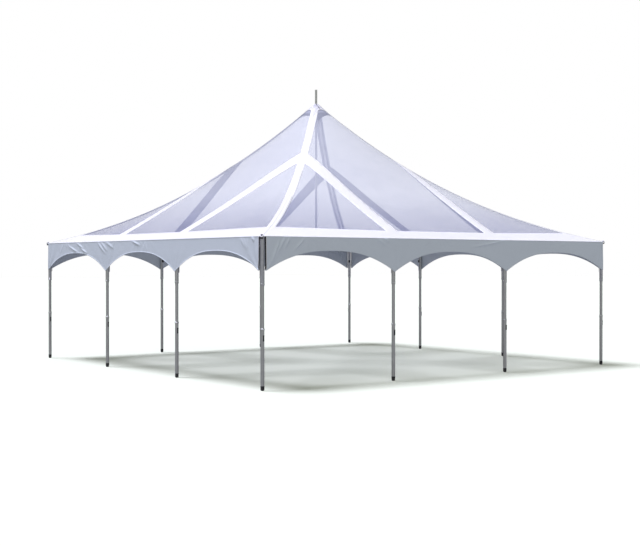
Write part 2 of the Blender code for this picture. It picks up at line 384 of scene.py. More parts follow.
@dataclass(frozen=True)
class MastEnamel:
    """White enamel on the mast below the roof, and bare tube above it."""

    enamel_top: float
    slot: Slot = Slot.TUBE

    def material(self) -> bpy.types.Material:
        """Make the material."""
        shader = Shader("mast_enamel")
        bare = shader.place()[2].above(self.enamel_top - 0.004, self.enamel_top + 0.004)
        clouds = shader.noise(6.0, 4.0)
        chips = shader.noise(70.0, 5.0).above(0.70, 0.74)
        enamel = shader.mix(clouds * 0.15 + chips * 0.5, (0.97, 0.97, 0.98), (0.80, 0.81, 0.84))
        tube_tone = shader.mix(clouds, DrawnTube.dull, DrawnTube.bright)
        shader.dress(
            {
                "Base Color": shader.mix(bare, enamel, tube_tone),
                "Metallic": bare,
                "Roughness": clouds * 0.15 + bare * 0.05 + 0.30,
            },
            height=clouds,
            relief=0.0003,
        )
        return shader.material


@dataclass(frozen=True)
class Casting:
    """Dull grey cast and welded aluminium."""

    slot: Slot = Slot.CASTING
    light: Sequence[float] = (0.66, 0.67, 0.68)
    dark: Sequence[float] = (0.44, 0.45, 0.46)

    def material(self) -> bpy.types.Material:
        """Make the material."""
        shader = Shader("casting")
        grain = shader.noise(420.0, 3.0)
        clouds = shader.noise(14.0, 4.0)
        shader.dress(
            {
                "Base Color": shader.mix((clouds * 1.2 - 0.1).clamped(), self.dark, self.light),
                "Metallic": 1.0,
                "Roughness": clouds * 0.2 + 0.38,
            },
            height=grain,
            relief=0.0006,
        )
        return shader.material


@dataclass(frozen=True)
class WireRope:
    """Galvanised wire."""

    slot: Slot = Slot.CABLE

    def material(self) -> bpy.types.Material:
        """Make the material."""
        shader = Shader("galvanised_wire")
        clouds = shader.noise(90.0, 3.0)
        shader.dress(
            {
                "Base Color": shader.mix(clouds, (0.38, 0.38, 0.39), (0.66, 0.66, 0.67)),
                "Metallic": 1.0,
                "Roughness": clouds * 0.2 + 0.28,
            }
        )
        return shader.material


@dataclass(frozen=True)
class Zinc:
    """Zinc-plated pins, rings and buckles."""

    slot: Slot = Slot.ZINC

    def material(self) -> bpy.types.Material:
        """Make the material."""
        shader = Shader("zinc")
        clouds = shader.noise(130.0, 3.0)
        shader.dress(
            {
                "Base Color": shader.mix(clouds, (0.78, 0.78, 0.76), (0.94, 0.94, 0.93)),
                "Metallic": 1.0,
                "Roughness": clouds * 0.2 + 0.2,
            }
        )
        return shader.material


@dataclass(frozen=True)
class Moulding:
    """Black moulded rubber or plastic, with a fine grain and dusty edges."""

    slot: Slot
    roughness: float
    dust_height: float  # how far up from the ground the dust reaches

    def material(self) -> bpy.types.Material:
        """Make the material."""
        shader = Shader(self.slot.value)
        height = shader.place()[2]
        grain = shader.noise(900.0, 2.0)
        dust = (1.0 - height.above(0.0, self.dust_height)) * shader.noise(45.0, 4.0)
        shader.dress(
            {
                "Base Color": shader.mix((dust * 0.6).clamped(), (0.025, 0.025, 0.027), (0.16, 0.155, 0.145)),
                "Roughness": (grain * 0.12 + self.roughness - 0.06).clamped(),
            },
            height=grain,
            relief=0.0004,
        )
        return shader.material


@dataclass(frozen=True)
class Webbing:
    """White woven strap."""

    slot: Slot = Slot.WEBBING

    def material(self) -> bpy.types.Material:
        """Make the material."""
        shader = Shader("webbing")
        x, y, z = shader.place()
        pitch = math.tau / 0.0022
        ribs = (z * pitch).sine() * ((x + y) * pitch).sine() * 0.5 + 0.5
        shader.dress(
            {
                "Base Color": shader.mix(ribs, (0.70, 0.71, 0.73), (0.88, 0.89, 0.90)),
                "Roughness": 0.78,
            },
            height=ribs,
            relief=0.0005,
        )
        return shader.material


@dataclass(frozen=True)
class ClearFilm:
    """Clear soft vinyl film with a lavender tint, darker and greyer towards the eave as painted shade, with
    soft ripples.
    """

    size: TentSize
    slot: Slot = Slot.FILM
    high: Sequence[float] = (0.83, 0.87, 1.0)
    # low is the darker, greyer tint near the eave: painted shade.
    low: Sequence[float] = (0.30, 0.33, 0.56)

    def material(self) -> bpy.types.Material:
        """Make the material."""
        shader = Shader("clear_film")
        height = shader.place()[2]
        clouds = shader.noise(0.55, 3.0)
        haze = shader.noise(2.2, 4.0)
        ripples = shader.noise(1.1, 1.0, (1.0, 1.0, 2.5))
        # Painted shade: the film is darker, greyer and more opaque towards the eave.
        dull = (1.0 - height.above(self.size.eave + 0.15, self.size.eave + 1.0)) * 0.8 + clouds * 0.4 - 0.16
        shader.dress(
            {
                "Base Color": shader.mix(dull.clamped(), self.high, self.low),
                "Roughness": haze * 0.12 + 0.16,
                "Coat Weight": 0.2,
                "Coat Roughness": 0.1,
                "IOR": 1.45,
                "Alpha": (clouds * 0.06 + haze * 0.03 + dull * 0.03 + 0.18).clamped(),
            },
            height=ripples,
            relief=0.03,
        )
        return shader.material


@dataclass(frozen=True)
class Vinyl:
    """White coated fabric with a faint scrim weave."""

    name: str
    slot: Slot
    clean: Sequence[float] = (0.93, 0.93, 0.95)
    worn: Sequence[float] = (0.82, 0.83, 0.86)
    stitches: float = 0.35  # how strongly the seams darken it
    glow: float = 0.0  # how much of the light goes through it

    def weave(self, shader: Shader) -> Value:
        """The scrim of the coated fabric, on the two directions that a face shows."""
        x, y, z = shader.place()
        pitch = math.tau / 0.0028
        return (x * pitch).sine() * (y * pitch).sine() + (z * pitch).sine()

    def seams(self, shader: Shader) -> Value | None:
        """The welded seams that the fabric shows, or none."""
        return None

    def material(self) -> bpy.types.Material:
        """Make the material."""
        shader = Shader(self.name)
        clouds = shader.noise(1.3, 4.0)
        marks = shader.noise(9.0, 5.0).above(0.60, 0.80)
        seams = self.seams(shader)
        wear = clouds * 0.45 - 0.1 + marks * 0.20
        relief = self.weave(shader) * 0.04 + clouds * 0.5
        if seams is not None:
            wear = wear + seams * self.stitches
            relief = relief + seams * 0.8
        shader.dress(
            {
                "Base Color": shader.mix(wear.clamped(), self.clean, self.worn),
                "Roughness": clouds * 0.15 + 0.38,
                "Coat Weight": 0.1,
                "Coat Roughness": 0.3,
                "Subsurface Weight": self.glow,
                "Subsurface Radius": (0.02, 0.02, 0.02),
                "Subsurface Scale": 1.0,
            },
            height=relief,
            relief=0.0015,
        )
        return shader.material


# Forms


def turned(profile: Sequence[Point], steps: int = 32, closed: bool = False) -> Bm:
    """Spin a profile once about +Z.

    Args:
        profile: Points of radius and height.
        steps: Facets in a turn.
        closed: Whether the last point joins the first, as on a tube's wall.

    Returns:
        The turned form.
    """
    bm = bmesh.new()
    points = [bm.verts.new((radius, 0.0, height)) for radius, height in profile]
    following = points[1:] + points[:1] if closed else points[1:]
    edges = [bm.edges.new(pair) for pair in zip(points, following)]
    bmesh.ops.spin(
        bm,
        geom=[*points, *edges],
        cent=(0, 0, 0),
        axis=(0, 0, 1),
        angle=math.tau,
        steps=steps,
        use_merge=True,
    )
    return closed_up(bm)


def closed_up(bm: Bm, gap: float = WELD) -> Bm:
    """Merge a form's doubles and turn its faces outwards."""
    bmesh.ops.remove_doubles(bm, verts=bm.verts, dist=gap)
    bmesh.ops.recalc_face_normals(bm, faces=bm.faces)
    return bm


def bar(radius: float, length: float, ease: float = 0.001, steps: int = 32) -> Bm:
    """A solid round bar along +Z from the origin, with eased ends."""
    foot = [(0.0, 0.0), (radius - ease, 0.0), (radius, ease)]
    head = [(radius, length - ease), (radius - ease, length), (0.0, length)]
    return turned([*foot, *head], steps)


def laid_bar(radius: float, length: float, start: Sequence[float]) -> Bm:
    """A solid round bar laid along +X from a place."""
    lay = Matrix.Translation(start) @ Matrix.Rotation(math.radians(90.0), 4, "Y")
    return moved(bar(radius, length, 0.001, 20), lay)


def tube(radius: float, wall: float, bottom: float, top: float) -> Bm:
    """An upright tube."""
    inner = radius - wall
    return turned([(inner, bottom), (radius, bottom), (radius, top), (inner, top)], closed=True)


def ring(major: float, minor: float, steps: int = 32) -> Bm:
    """A round ring of wire about +Z."""
    sides = 12
    turns = [math.tau / sides * index for index in range(sides)]
    return turned([(major + minor * math.cos(turn), minor * math.sin(turn)) for turn in turns], steps, True)


def block(size: Sequence[float], centre: Sequence[float], ease: float) -> Bm:
    """A box with rounded edges."""
    bm = bmesh.new()
    bmesh.ops.create_cube(bm, size=1.0)
    bmesh.ops.scale(bm, vec=size, verts=bm.verts)
    bmesh.ops.bevel(
        bm,
        geom=bm.edges[:],
        offset=ease,
        offset_type="OFFSET",
        affect="EDGES",
        segments=3,
        profile=0.5,
        material=-1,
    )
    return moved(bm, Matrix.Translation(centre))


def moved(bm: Bm, matrix: Matrix) -> Bm:
    """The same form, moved by a matrix."""
    bm.transform(matrix)
    return bm


def copied(bm: Bm, matrix: Matrix) -> Bm:
    """A copy of a form, moved by a matrix."""
    return moved(bm.copy(), matrix)


def between(start: Vector, end: Vector) -> Matrix:
    """The place of a form that is made along +Z, from one point towards another."""
    return Matrix.Translation(start) @ (end - start).to_track_quat("Z", "Y").to_matrix().to_4x4()


def joined(parts: Iterable[Bm]) -> Bm:
    """Put several forms in one, each still closed by itself."""
    whole = bmesh.new()
    for part in parts:
        mesh = bpy.data.meshes.new("part")
        part.to_mesh(mesh)
        part.free()
        whole.from_mesh(mesh)
        bpy.data.meshes.remove(mesh)
    return whole


def all_round(form: Bm) -> Bm:
    """Repeat a form of the front side on all four sides, in one form."""
    whole = joined([copied(form, side_turn(side)) for side in range(4)])
    form.free()
    return whole


def carved(body: Bm, tools: Sequence[Bm], way: Join) -> Bm:
    """Add tools to a body, or cut them out of it, with exact Booleans.

    Args:
        body: The form to change.
        tools: The forms to add or cut.
        way: Whether they are added or cut.

    Returns:
        The changed form.
    """
    objects = []
    for part in (body, *tools):
        mesh = bpy.data.meshes.new("part")
        part.to_mesh(mesh)
        part.free()
        objects.append(bpy.data.objects.new("part", mesh))
        bpy.context.scene.collection.objects.link(objects[-1])
    for tool in objects[1:]:
        cut = objects[0].modifiers.new("carve", "BOOLEAN")
        cut.operation = way.value
        cut.solver = "EXACT"
        cut.object = tool
    result = bpy.data.meshes.new_from_object(objects[0].evaluated_get(bpy.context.evaluated_depsgraph_get()))
    bm = bmesh.new()
    bm.from_mesh(result)
    meshes = [result, *(item.data for item in objects)]
    for item in objects:
        bpy.data.objects.remove(item)
    for mesh in meshes:
        bpy.data.meshes.remove(mesh)
    return bm


def upright_section(section: Sequence[Point], path: Sequence[Vector]) -> list[Vector]:
    """Stand a section upright across a path that runs level or sloping.

    Args:
        section: Points of the section, across the path in plan and up.
        path: The path.

    Returns:
        The section's corners, from the path.
    """
    way = path[-1] - path[0]
    across = Vector((-way.y, way.x, 0.0)).normalized()
    return [across * side + Vector((0.0, 0.0, up)) for side, up in section]


def swept(section: Sequence[Vector], path: Sequence[Vector]) -> Bm:
    """Carry a section along a path, and cap both ends.

    Args:
        section: The section's corners, from the path.
        path: The points that it follows.

    Returns:
        The closed strip.
    """
    bm = bmesh.new()
    face = bm.faces.new([bm.verts.new(path[0] + corner) for corner in section])
    for start, end in zip(path, path[1:]):
        grown = bmesh.ops.extrude_face_region(bm, geom=[face])["geom"]
        face = next(item for item in grown if isinstance(item, bmesh.types.BMFace))
        bmesh.ops.translate(bm, verts=face.verts[:], vec=end - start)
    return closed_up(bm)


def mapped_grid(columns: int, rows: int, rule: Callable[[float, float], Sequence[float]]) -> Bm:
    """A grid whose points follow a rule.

    Args:
        columns: Faces across.
        rows: Faces up.
        rule: Gives a point from two shares, across from -1 to 1 and up from 0 to 1.

    Returns:
        The open sheet.
    """
    bm = bmesh.new()
    bmesh.ops.create_grid(bm, x_segments=columns, y_segments=rows, size=1.0)
    for vertex in bm.verts:
        vertex.co = rule(vertex.co.x, (vertex.co.y + 1.0) / 2.0)
    return bm


class Wardrobe:
    """Makes each finish once and enters each piece in the scene."""

    def __init__(self) -> None:
        """Start with no materials."""
        self.made: dict[Any, bpy.types.Material] = {}

    def material(self, finish: Any) -> bpy.types.Material:
        """The material of a finish."""
        if finish not in self.made:
            self.made[finish] = finish.material()
        return self.made[finish]

    def piece(self, name: str, bm: Bm, finish: Any, stands_for: Sequence[str] = ()) -> bpy.types.Object:
        """Enter a form as a piece.

        Args:
            name: The piece's name.
            bm: Its form, in the tent's frame.
            finish: Its finish.
            stands_for: The nodes that it replaces.

        Returns:
            The piece.
        """
        mesh = bpy.data.meshes.new(name)
        bm.to_mesh(mesh)
        bm.free()
        mesh.shade_smooth()
        mesh.set_sharp_from_angle(angle=math.radians(38.0))
        mesh.materials.append(self.material(finish))
        piece = bpy.data.objects.new(name, mesh)
        bpy.context.scene.collection.objects.link(piece)
        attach(piece, BODY)
        if stands_for:
            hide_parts(*stands_for)
        LOG.info("%s: %d faces, %s", name, len(mesh.polygons), finish.slot.value)
        return piece

    @staticmethod
    def thicken(piece: bpy.types.Object, thickness: float) -> None:
        """Give an open sheet its thickness, outwards."""
        solid = piece.modifiers.new("thickness", "SOLIDIFY")
        solid.thickness = thickness
        solid.offset = 1.0


# The roof


@dataclass(frozen=True)
class RoofShape:
    """The sagging pyramid that the roof sheets follow, and the bands on it."""

    size: TentSize
    hip_linear: float = 0.44
    hip_power: float = 2.3
    middle_linear: float = 0.78
    middle_power: float = 2.2
    hip_band: float = 0.17
    riser_band: float = 0.30
    riser_x: float = 1.33  # from the middle of a face to the centre line of a riser band
    eave_middle: float = 0.26  # width of the eave band in plan, at the middle of a side
    eave_corner: float = 0.55  # and at its corners
    eave_power: float = 2.5
    roll: float = 0.014  # how far the sheet rolls down at its edge

    def eave_band(self, across: float) -> float:
        """Width of the eave band in plan, where across is 0 at the middle of a side and 1 at a corner."""
        return self.eave_middle + (self.eave_corner - self.eave_middle) * abs(across) ** self.eave_power

    def height(self, x: float, y: float) -> float:
        """Height of the roof over a place in plan."""
        far, near = max(abs(x), abs(y)), min(abs(x), abs(y))
        inward = max(0.0, 1.0 - far / self.size.half)
        hip = self.hip_linear * inward + (1.0 - self.hip_linear) * inward**self.hip_power
        middle = self.middle_linear * inward + (1.0 - self.middle_linear) * inward**self.middle_power
        rise = self.size.peak - self.size.eave
        out = min(1.0, max(0.0, (far - self.size.edge + self.roll) / self.roll))
        drop = self.roll * (1.0 - math.sqrt(1.0 - out * out))
        return self.size.eave + rise * (middle - (middle - hip) * (near / far) ** 2) - drop

    def face(self, columns: int, rows: int, outer: float, inner: float, margin: float = 0.0) -> Bm:
        """The front face in plan, as a fan between its hips.

        Args:
            columns: Faces from hip to hip.
            rows: Faces from the eave up.
            outer: Distance of its lower edge from the middle.
            inner: Distance of its upper edge from the middle.
            margin: How far it stays from the hips.

        Returns:
            The flat face.
        """

        def spot(across: float, up: float) -> Sequence[float]:
            far = outer + (inner - outer) * up
            return (across * (far - margin), -far, 0.0)

        return mapped_grid(columns, rows, spot)

    def lift(self, bm: Bm, offset: float) -> Bm:
        """Raise a flat sheet to the roof, plus an offset."""
        for vertex in bm.verts:
            vertex.co.z = self.height(vertex.co.x, vertex.co.y) + offset
        return bm


@dataclass(frozen=True)
class BandVinyl(Vinyl):
    """White coated fabric of the roof's bands, with the double welds along their edges."""

    shape: RoofShape | None = None

    def seams(self, shader: Shader) -> Value:
        """Two weld lines inside each band's edges."""
        shape = self.shape
        x, y, _ = (abs(axis) for axis in shader.place())
        far, near = x.highest(y), x.lowest(y)
        inward = shape.size.half - far
        across = (near / far) ** shape.eave_power
        edges = (
            ((far - near) / math.sqrt(2.0), shape.hip_band / 2),
            (abs(near - shape.riser_x), shape.riser_band / 2),
            (inward - across * (shape.eave_corner - shape.eave_middle), shape.eave_middle),
        )
        lines = None
        for distance, edge in edges:
            for inset in (0.012, 0.034):
                line = distance.line(edge - inset, 0.006)
                lines = line if lines is None else lines.highest(line)
        return lines


@dataclass(frozen=True)
class CrownVinyl(Vinyl):
    """Coated fabric of the crown cap, with the double stitched hem along its scalloped edge, and painted
    shade that darkens the cloth inside the hem.
    """

    roof: "Roof | None" = None

    def seams(self, shader: Shader) -> Value:
        """The painted shade that darkens the cloth inside the white hem, and the hem's rows of stitches."""
        roof = self.roof
        x, y, _ = (abs(axis) for axis in shader.place())
        far, near = x.highest(y), x.lowest(y)
        tongue = (near / far) ** roof.crown_power * (roof.crown_tongue - roof.crown_middle)
        inside = tongue + roof.crown_middle - far
        stitches = inside.line(0.006, 0.005).highest(inside.line(0.032, 0.004))
        return (stitches * 0.5).highest(inside.above(0.038, 0.042))


@dataclass(frozen=True)
class Roof:
    """The clear film faces, the white bands and the crown cap."""

    shape: RoofShape
    film_thickness: float = 0.001
    web_thickness: float = 0.002
    film_drop: float = 0.003  # from the bands' underside to the film's
    film_inset: float = 0.02  # from the roof's edge in to the film
    film_margin: float = 0.035  # from a hip to the film
    slant: float = 5.62  # run of the curved face from the eave to the mast
    mast_gap: float = 0.027
    crown_middle: float = 0.205  # reach of the crown from the mast, in plan, at the middle of a face
    crown_tongue: float = 0.40  # and along a hip
    crown_power: float = 3.4
    crown_folds: int = 9  # soft folds of the crown in each face
    shade_patch_reach: float = 0.30
    closure_x: float = -0.03
    closure_reach: Point = (0.045, 0.19)
    seam_size: Point = (0.0012, 0.009)  # half width and height of the standing seam on a hip

    def film(self, side: int) -> Bm:
        """One film face."""
        outer, inner = self.shape.size.edge - self.film_inset, self.mast_gap + self.film_margin
        flat = self.shape.face(84, 64, outer, inner, self.film_margin)
        return moved(self.shape.lift(flat, -self.film_drop), side_turn(side))

    def band_face(self) -> Bm:
        """The white bands of the front face, in plan."""
        shape, size = self.shape, self.shape.size
        rows = (3, 5, 60)  # over the rolled edge, the eave band and the rest

        def spot(across: float, up: float) -> Sequence[float]:
            row = up * sum(rows)
            stops = (size.edge, size.edge - shape.roll, size.half - shape.eave_band(across), self.mast_gap)
            far = size.edge
            for count, start, end in zip(rows, stops, stops[1:]):
                if row > 0.001:
                    far = start + (end - start) * min(1.0, row / count)
                row -= count
            return (across * far, -far, 0.0)

        flat = mapped_grid(90, sum(rows), spot)
        cuts = []
        for sign in (-1.0, 1.0):
            along_hip = Vector((1.0, sign, 0.0)).normalized()
            cuts.append((along_hip * -sign * shape.hip_band / 2, along_hip))
            for edge in (-shape.riser_band / 2, shape.riser_band / 2):
                cuts.append(((sign * (shape.riser_x + edge), 0.0, 0.0), (1.0, 0.0, 0.0)))
        for point, normal in cuts:
            geometry = bm_all(flat)
            bmesh.ops.bisect_plane(flat, geom=geometry, dist=0.00001, plane_co=point, plane_no=normal)
        unused = [face for face in flat.faces if not self.is_band(face.calc_center_median())]
        bmesh.ops.delete(flat, geom=unused, context="FACES")
        return flat

    def is_band(self, centre: Vector) -> bool:
        """Whether a white band covers a facet of the front face."""
        shape = self.shape
        far, near = -centre.y, abs(centre.x)
        on_eave = shape.size.half - far < shape.eave_band(near / far)
        on_riser = abs(near - shape.riser_x) < shape.riser_band / 2
        on_hip = (far - near) / math.sqrt(2.0) < shape.hip_band / 2
        return on_eave or on_riser or on_hip or far < self.crown_middle

    def bands(self) -> Bm:
        """The web of white bands on all four faces."""
        return self.shape.lift(closed_up(all_round(self.band_face()), SHEET_WELD), 0.0)

    def crown(self) -> Bm:
        """The cap round the mast: arched between the hips, with a tongue down each of them."""

        def spot(across: float, up: float) -> Sequence[float]:
            tongue = (self.crown_tongue - self.crown_middle) * abs(across) ** self.crown_power
            reach = self.crown_middle + tongue
            far = self.mast_gap + (reach - self.mast_gap) * (1.0 - up)
            return (across * far, -far, 0.0)

        cap = closed_up(all_round(mapped_grid(56, 18, spot)), SHEET_WELD)
        self.shape.lift(cap, self.web_thickness + 0.0005)
        for vertex in cap.verts:
            turn = math.atan2(vertex.co.y, vertex.co.x)
            out = math.hypot(vertex.co.x, vertex.co.y)
            slack = math.exp(-(((out - 0.11) / 0.07) ** 2))
            fold = math.sin(4 * self.crown_folds * turn + 2.0 * math.sin(3 * turn))
            vertex.co.z += 0.004 * slack * (1.0 + fold)
        return cap

    def shade_patch(self) -> Bm:
        """A dark square patch under the film round the mast, put there as painted shade."""
        face = self.shape.face(24, 8, self.shade_patch_reach, self.mast_gap)
        patch = closed_up(all_round(face), SHEET_WELD)
        return self.shape.lift(patch, -self.film_drop - 1.5 * self.film_thickness)

    def closure(self) -> Bm:
        """The dark closing strip down the middle of the crown's front face."""
        start, end = self.closure_reach
        path = []
        for step in range(13):
            y = -start - (end - start) * step / 12
            path.append(Vector((self.closure_x, y, self.shape.height(self.closure_x, y) + 0.010)))
        section = [(-0.008, 0.0), (0.008, 0.0), (0.006, 0.005), (-0.006, 0.005)]
        return swept(upright_section(section, path), path)

    def hip_seams(self) -> Bm:
        """The standing seam along each hip, from the crown's tongues to the corners."""
        half_width, height = self.seam_size
        half_top = half_width * 0.7
        section = [(-half_width, 0.0), (half_width, 0.0), (half_top, height), (-half_top, height)]
        start, end = self.crown_tongue + 0.02, self.shape.size.edge - self.shape.roll
        path = []
        for step in range(91):
            out = start + (end - start) * step / 90
            path.append(Vector((-out, -out, self.shape.height(out, out) + self.web_thickness - 0.001)))
        return all_round(swept(upright_section(section, path), path))

    def build(self, wardrobe: Wardrobe) -> None:
        """Make and dress the roof's sheets."""
        film_finish = ClearFilm(self.shape.size)
        span = 2.0 * self.shape.size.edge
        film_area = span * self.slant / 2
        for side, name in enumerate(SIDE_NAMES):
            film = wardrobe.piece(f"clear_film_{name}", self.film(side), film_finish, [f"roof_film_{name}"])
            wardrobe.thicken(film, self.film_thickness)
        band_finish = BandVinyl(
            "band_vinyl", Slot.WHITE, *BAND_TONES, stitches=0.15, glow=0.35, shape=self.shape
        )
        web = wardrobe.piece("white_bands", self.bands(), band_finish, ["band_web"])
        wardrobe.thicken(web, self.web_thickness)
        seams = wardrobe.piece("hip_seams", self.hip_seams(), Vinyl("seam_vinyl", Slot.VALANCE, *SEAM_TONES))
        # The crown's cloth inside its hem is painted darker grey: painted shade.
        crown_finish = CrownVinyl("crown_vinyl", Slot.WHITE, *CROWN_WHITE_AND_SHADE_TONES, stitches=0.6, roof=self)
        crown = wardrobe.piece("crown_cap", self.crown(), crown_finish, ["crown"])
        wardrobe.thicken(crown, self.web_thickness)
        closure = wardrobe.piece("crown_closure", self.closure(), Moulding(Slot.PLASTIC, 0.6, 0.05))
        # The dark patch under the film is painted shade.
        shade_patch_finish = Vinyl("crown_shade_patch_vinyl", Slot.VALANCE, *SHADE_PATCH_TONES)
        shade_patch = wardrobe.piece("crown_shade_patch", self.shade_patch(), shade_patch_finish)
        wardrobe.thicken(shade_patch, self.film_thickness)
        reach = 2.0 * self.crown_tongue

    @staticmethod
    def cloth_area(piece: bpy.types.Object) -> float:
        """The area of an open sheet, before its thickness."""
        return sum(face.area for face in piece.data.polygons)


def bm_all(bm: Bm) -> list[Any]:
    """All the vertices, edges and faces of a form."""
    return bm.verts[:] + bm.edges[:] + bm.faces[:]


# The valance


@dataclass(frozen=True)
class Fold:
    """A fan of soft folds that runs out from one point of a valance."""

    x: float
    z: float
    depth: float
    rays: float
    phase: float
    reach: float

    def depth_at(self, x: float, z: float) -> float:
        """How far the folds push the cloth out at a place."""
        across, up = x - self.x, z - self.z
        distance = math.hypot(across, up)
        angle = math.atan2(up, across)
        near = min(1.0, distance / 0.12)
        return self.depth * near * math.sin(self.rays * angle + self.phase) * math.exp(-distance / self.reach)


@dataclass(frozen=True)
class Crease:
    """A soft ridge in a valance, highest half way along it."""

    start: Point  # along the side, and up
    end: Point
    depth: float = 0.015
    width: float = 0.021

    def depth_at(self, x: float, z: float) -> float:
        """How far the ridge pushes the cloth out at a place."""
        way_x, way_z = self.end[0] - self.start[0], self.end[1] - self.start[1]
        length = math.hypot(way_x, way_z)
        across, up = x - self.start[0], z - self.start[1]
        along = (across * way_x + up * way_z) / length**2
        if not 0.0 < along < 1.0:
            return 0.0
        gap = (across * way_z - up * way_x) / length
        return self.depth * math.sin(math.pi * along) * math.exp(-((gap / self.width) ** 2))


# The creases that show on the front and on the left, each from its start to its end
FRONT_CREASES = (
    ((-4.20, 2.76), (-4.40, 2.30)),
    ((-4.09, 2.76), (-4.30, 2.42)),
    ((-3.99, 2.76), (-4.13, 2.52)),
    ((-3.63, 2.77), (-3.94, 2.48)),
    ((-1.96, 2.75), (-1.74, 2.61)),
    ((-1.80, 2.75), (-1.62, 2.67)),
    ((0.48, 2.59), (1.56, 2.755)),
)
LEFT_CREASES = (
    ((-1.94, 2.75), (-1.50, 2.47)),
    ((-1.78, 2.76), (-1.42, 2.53)),
    ((-1.56, 2.76), (-1.12, 2.59)),
    ((-0.34, 2.76), (0.08, 2.64)),
    ((-3.40, 2.67), (-2.90, 2.51)),
    ((-2.82, 2.63), (-2.42, 2.49)),
    ((-3.02, 2.75), (-2.62, 2.60)),
    ((4.28, 2.76), (4.38, 2.66)),
)


@dataclass(frozen=True)
class ValanceVinyl(Vinyl):
    """Coated fabric of the valance, with the weld along its top, where a darker line is painted shade under
    the eave band's roll.
    """

    weld_shade_z: float = 0.0

    def seams(self, shader: Shader) -> Value:
        """The line where the valance is welded on under the eave band: a ridge in the relief, and a darker
        line of painted shade.
        """
        return shader.place()[2].line(self.weld_shade_z, 0.010)


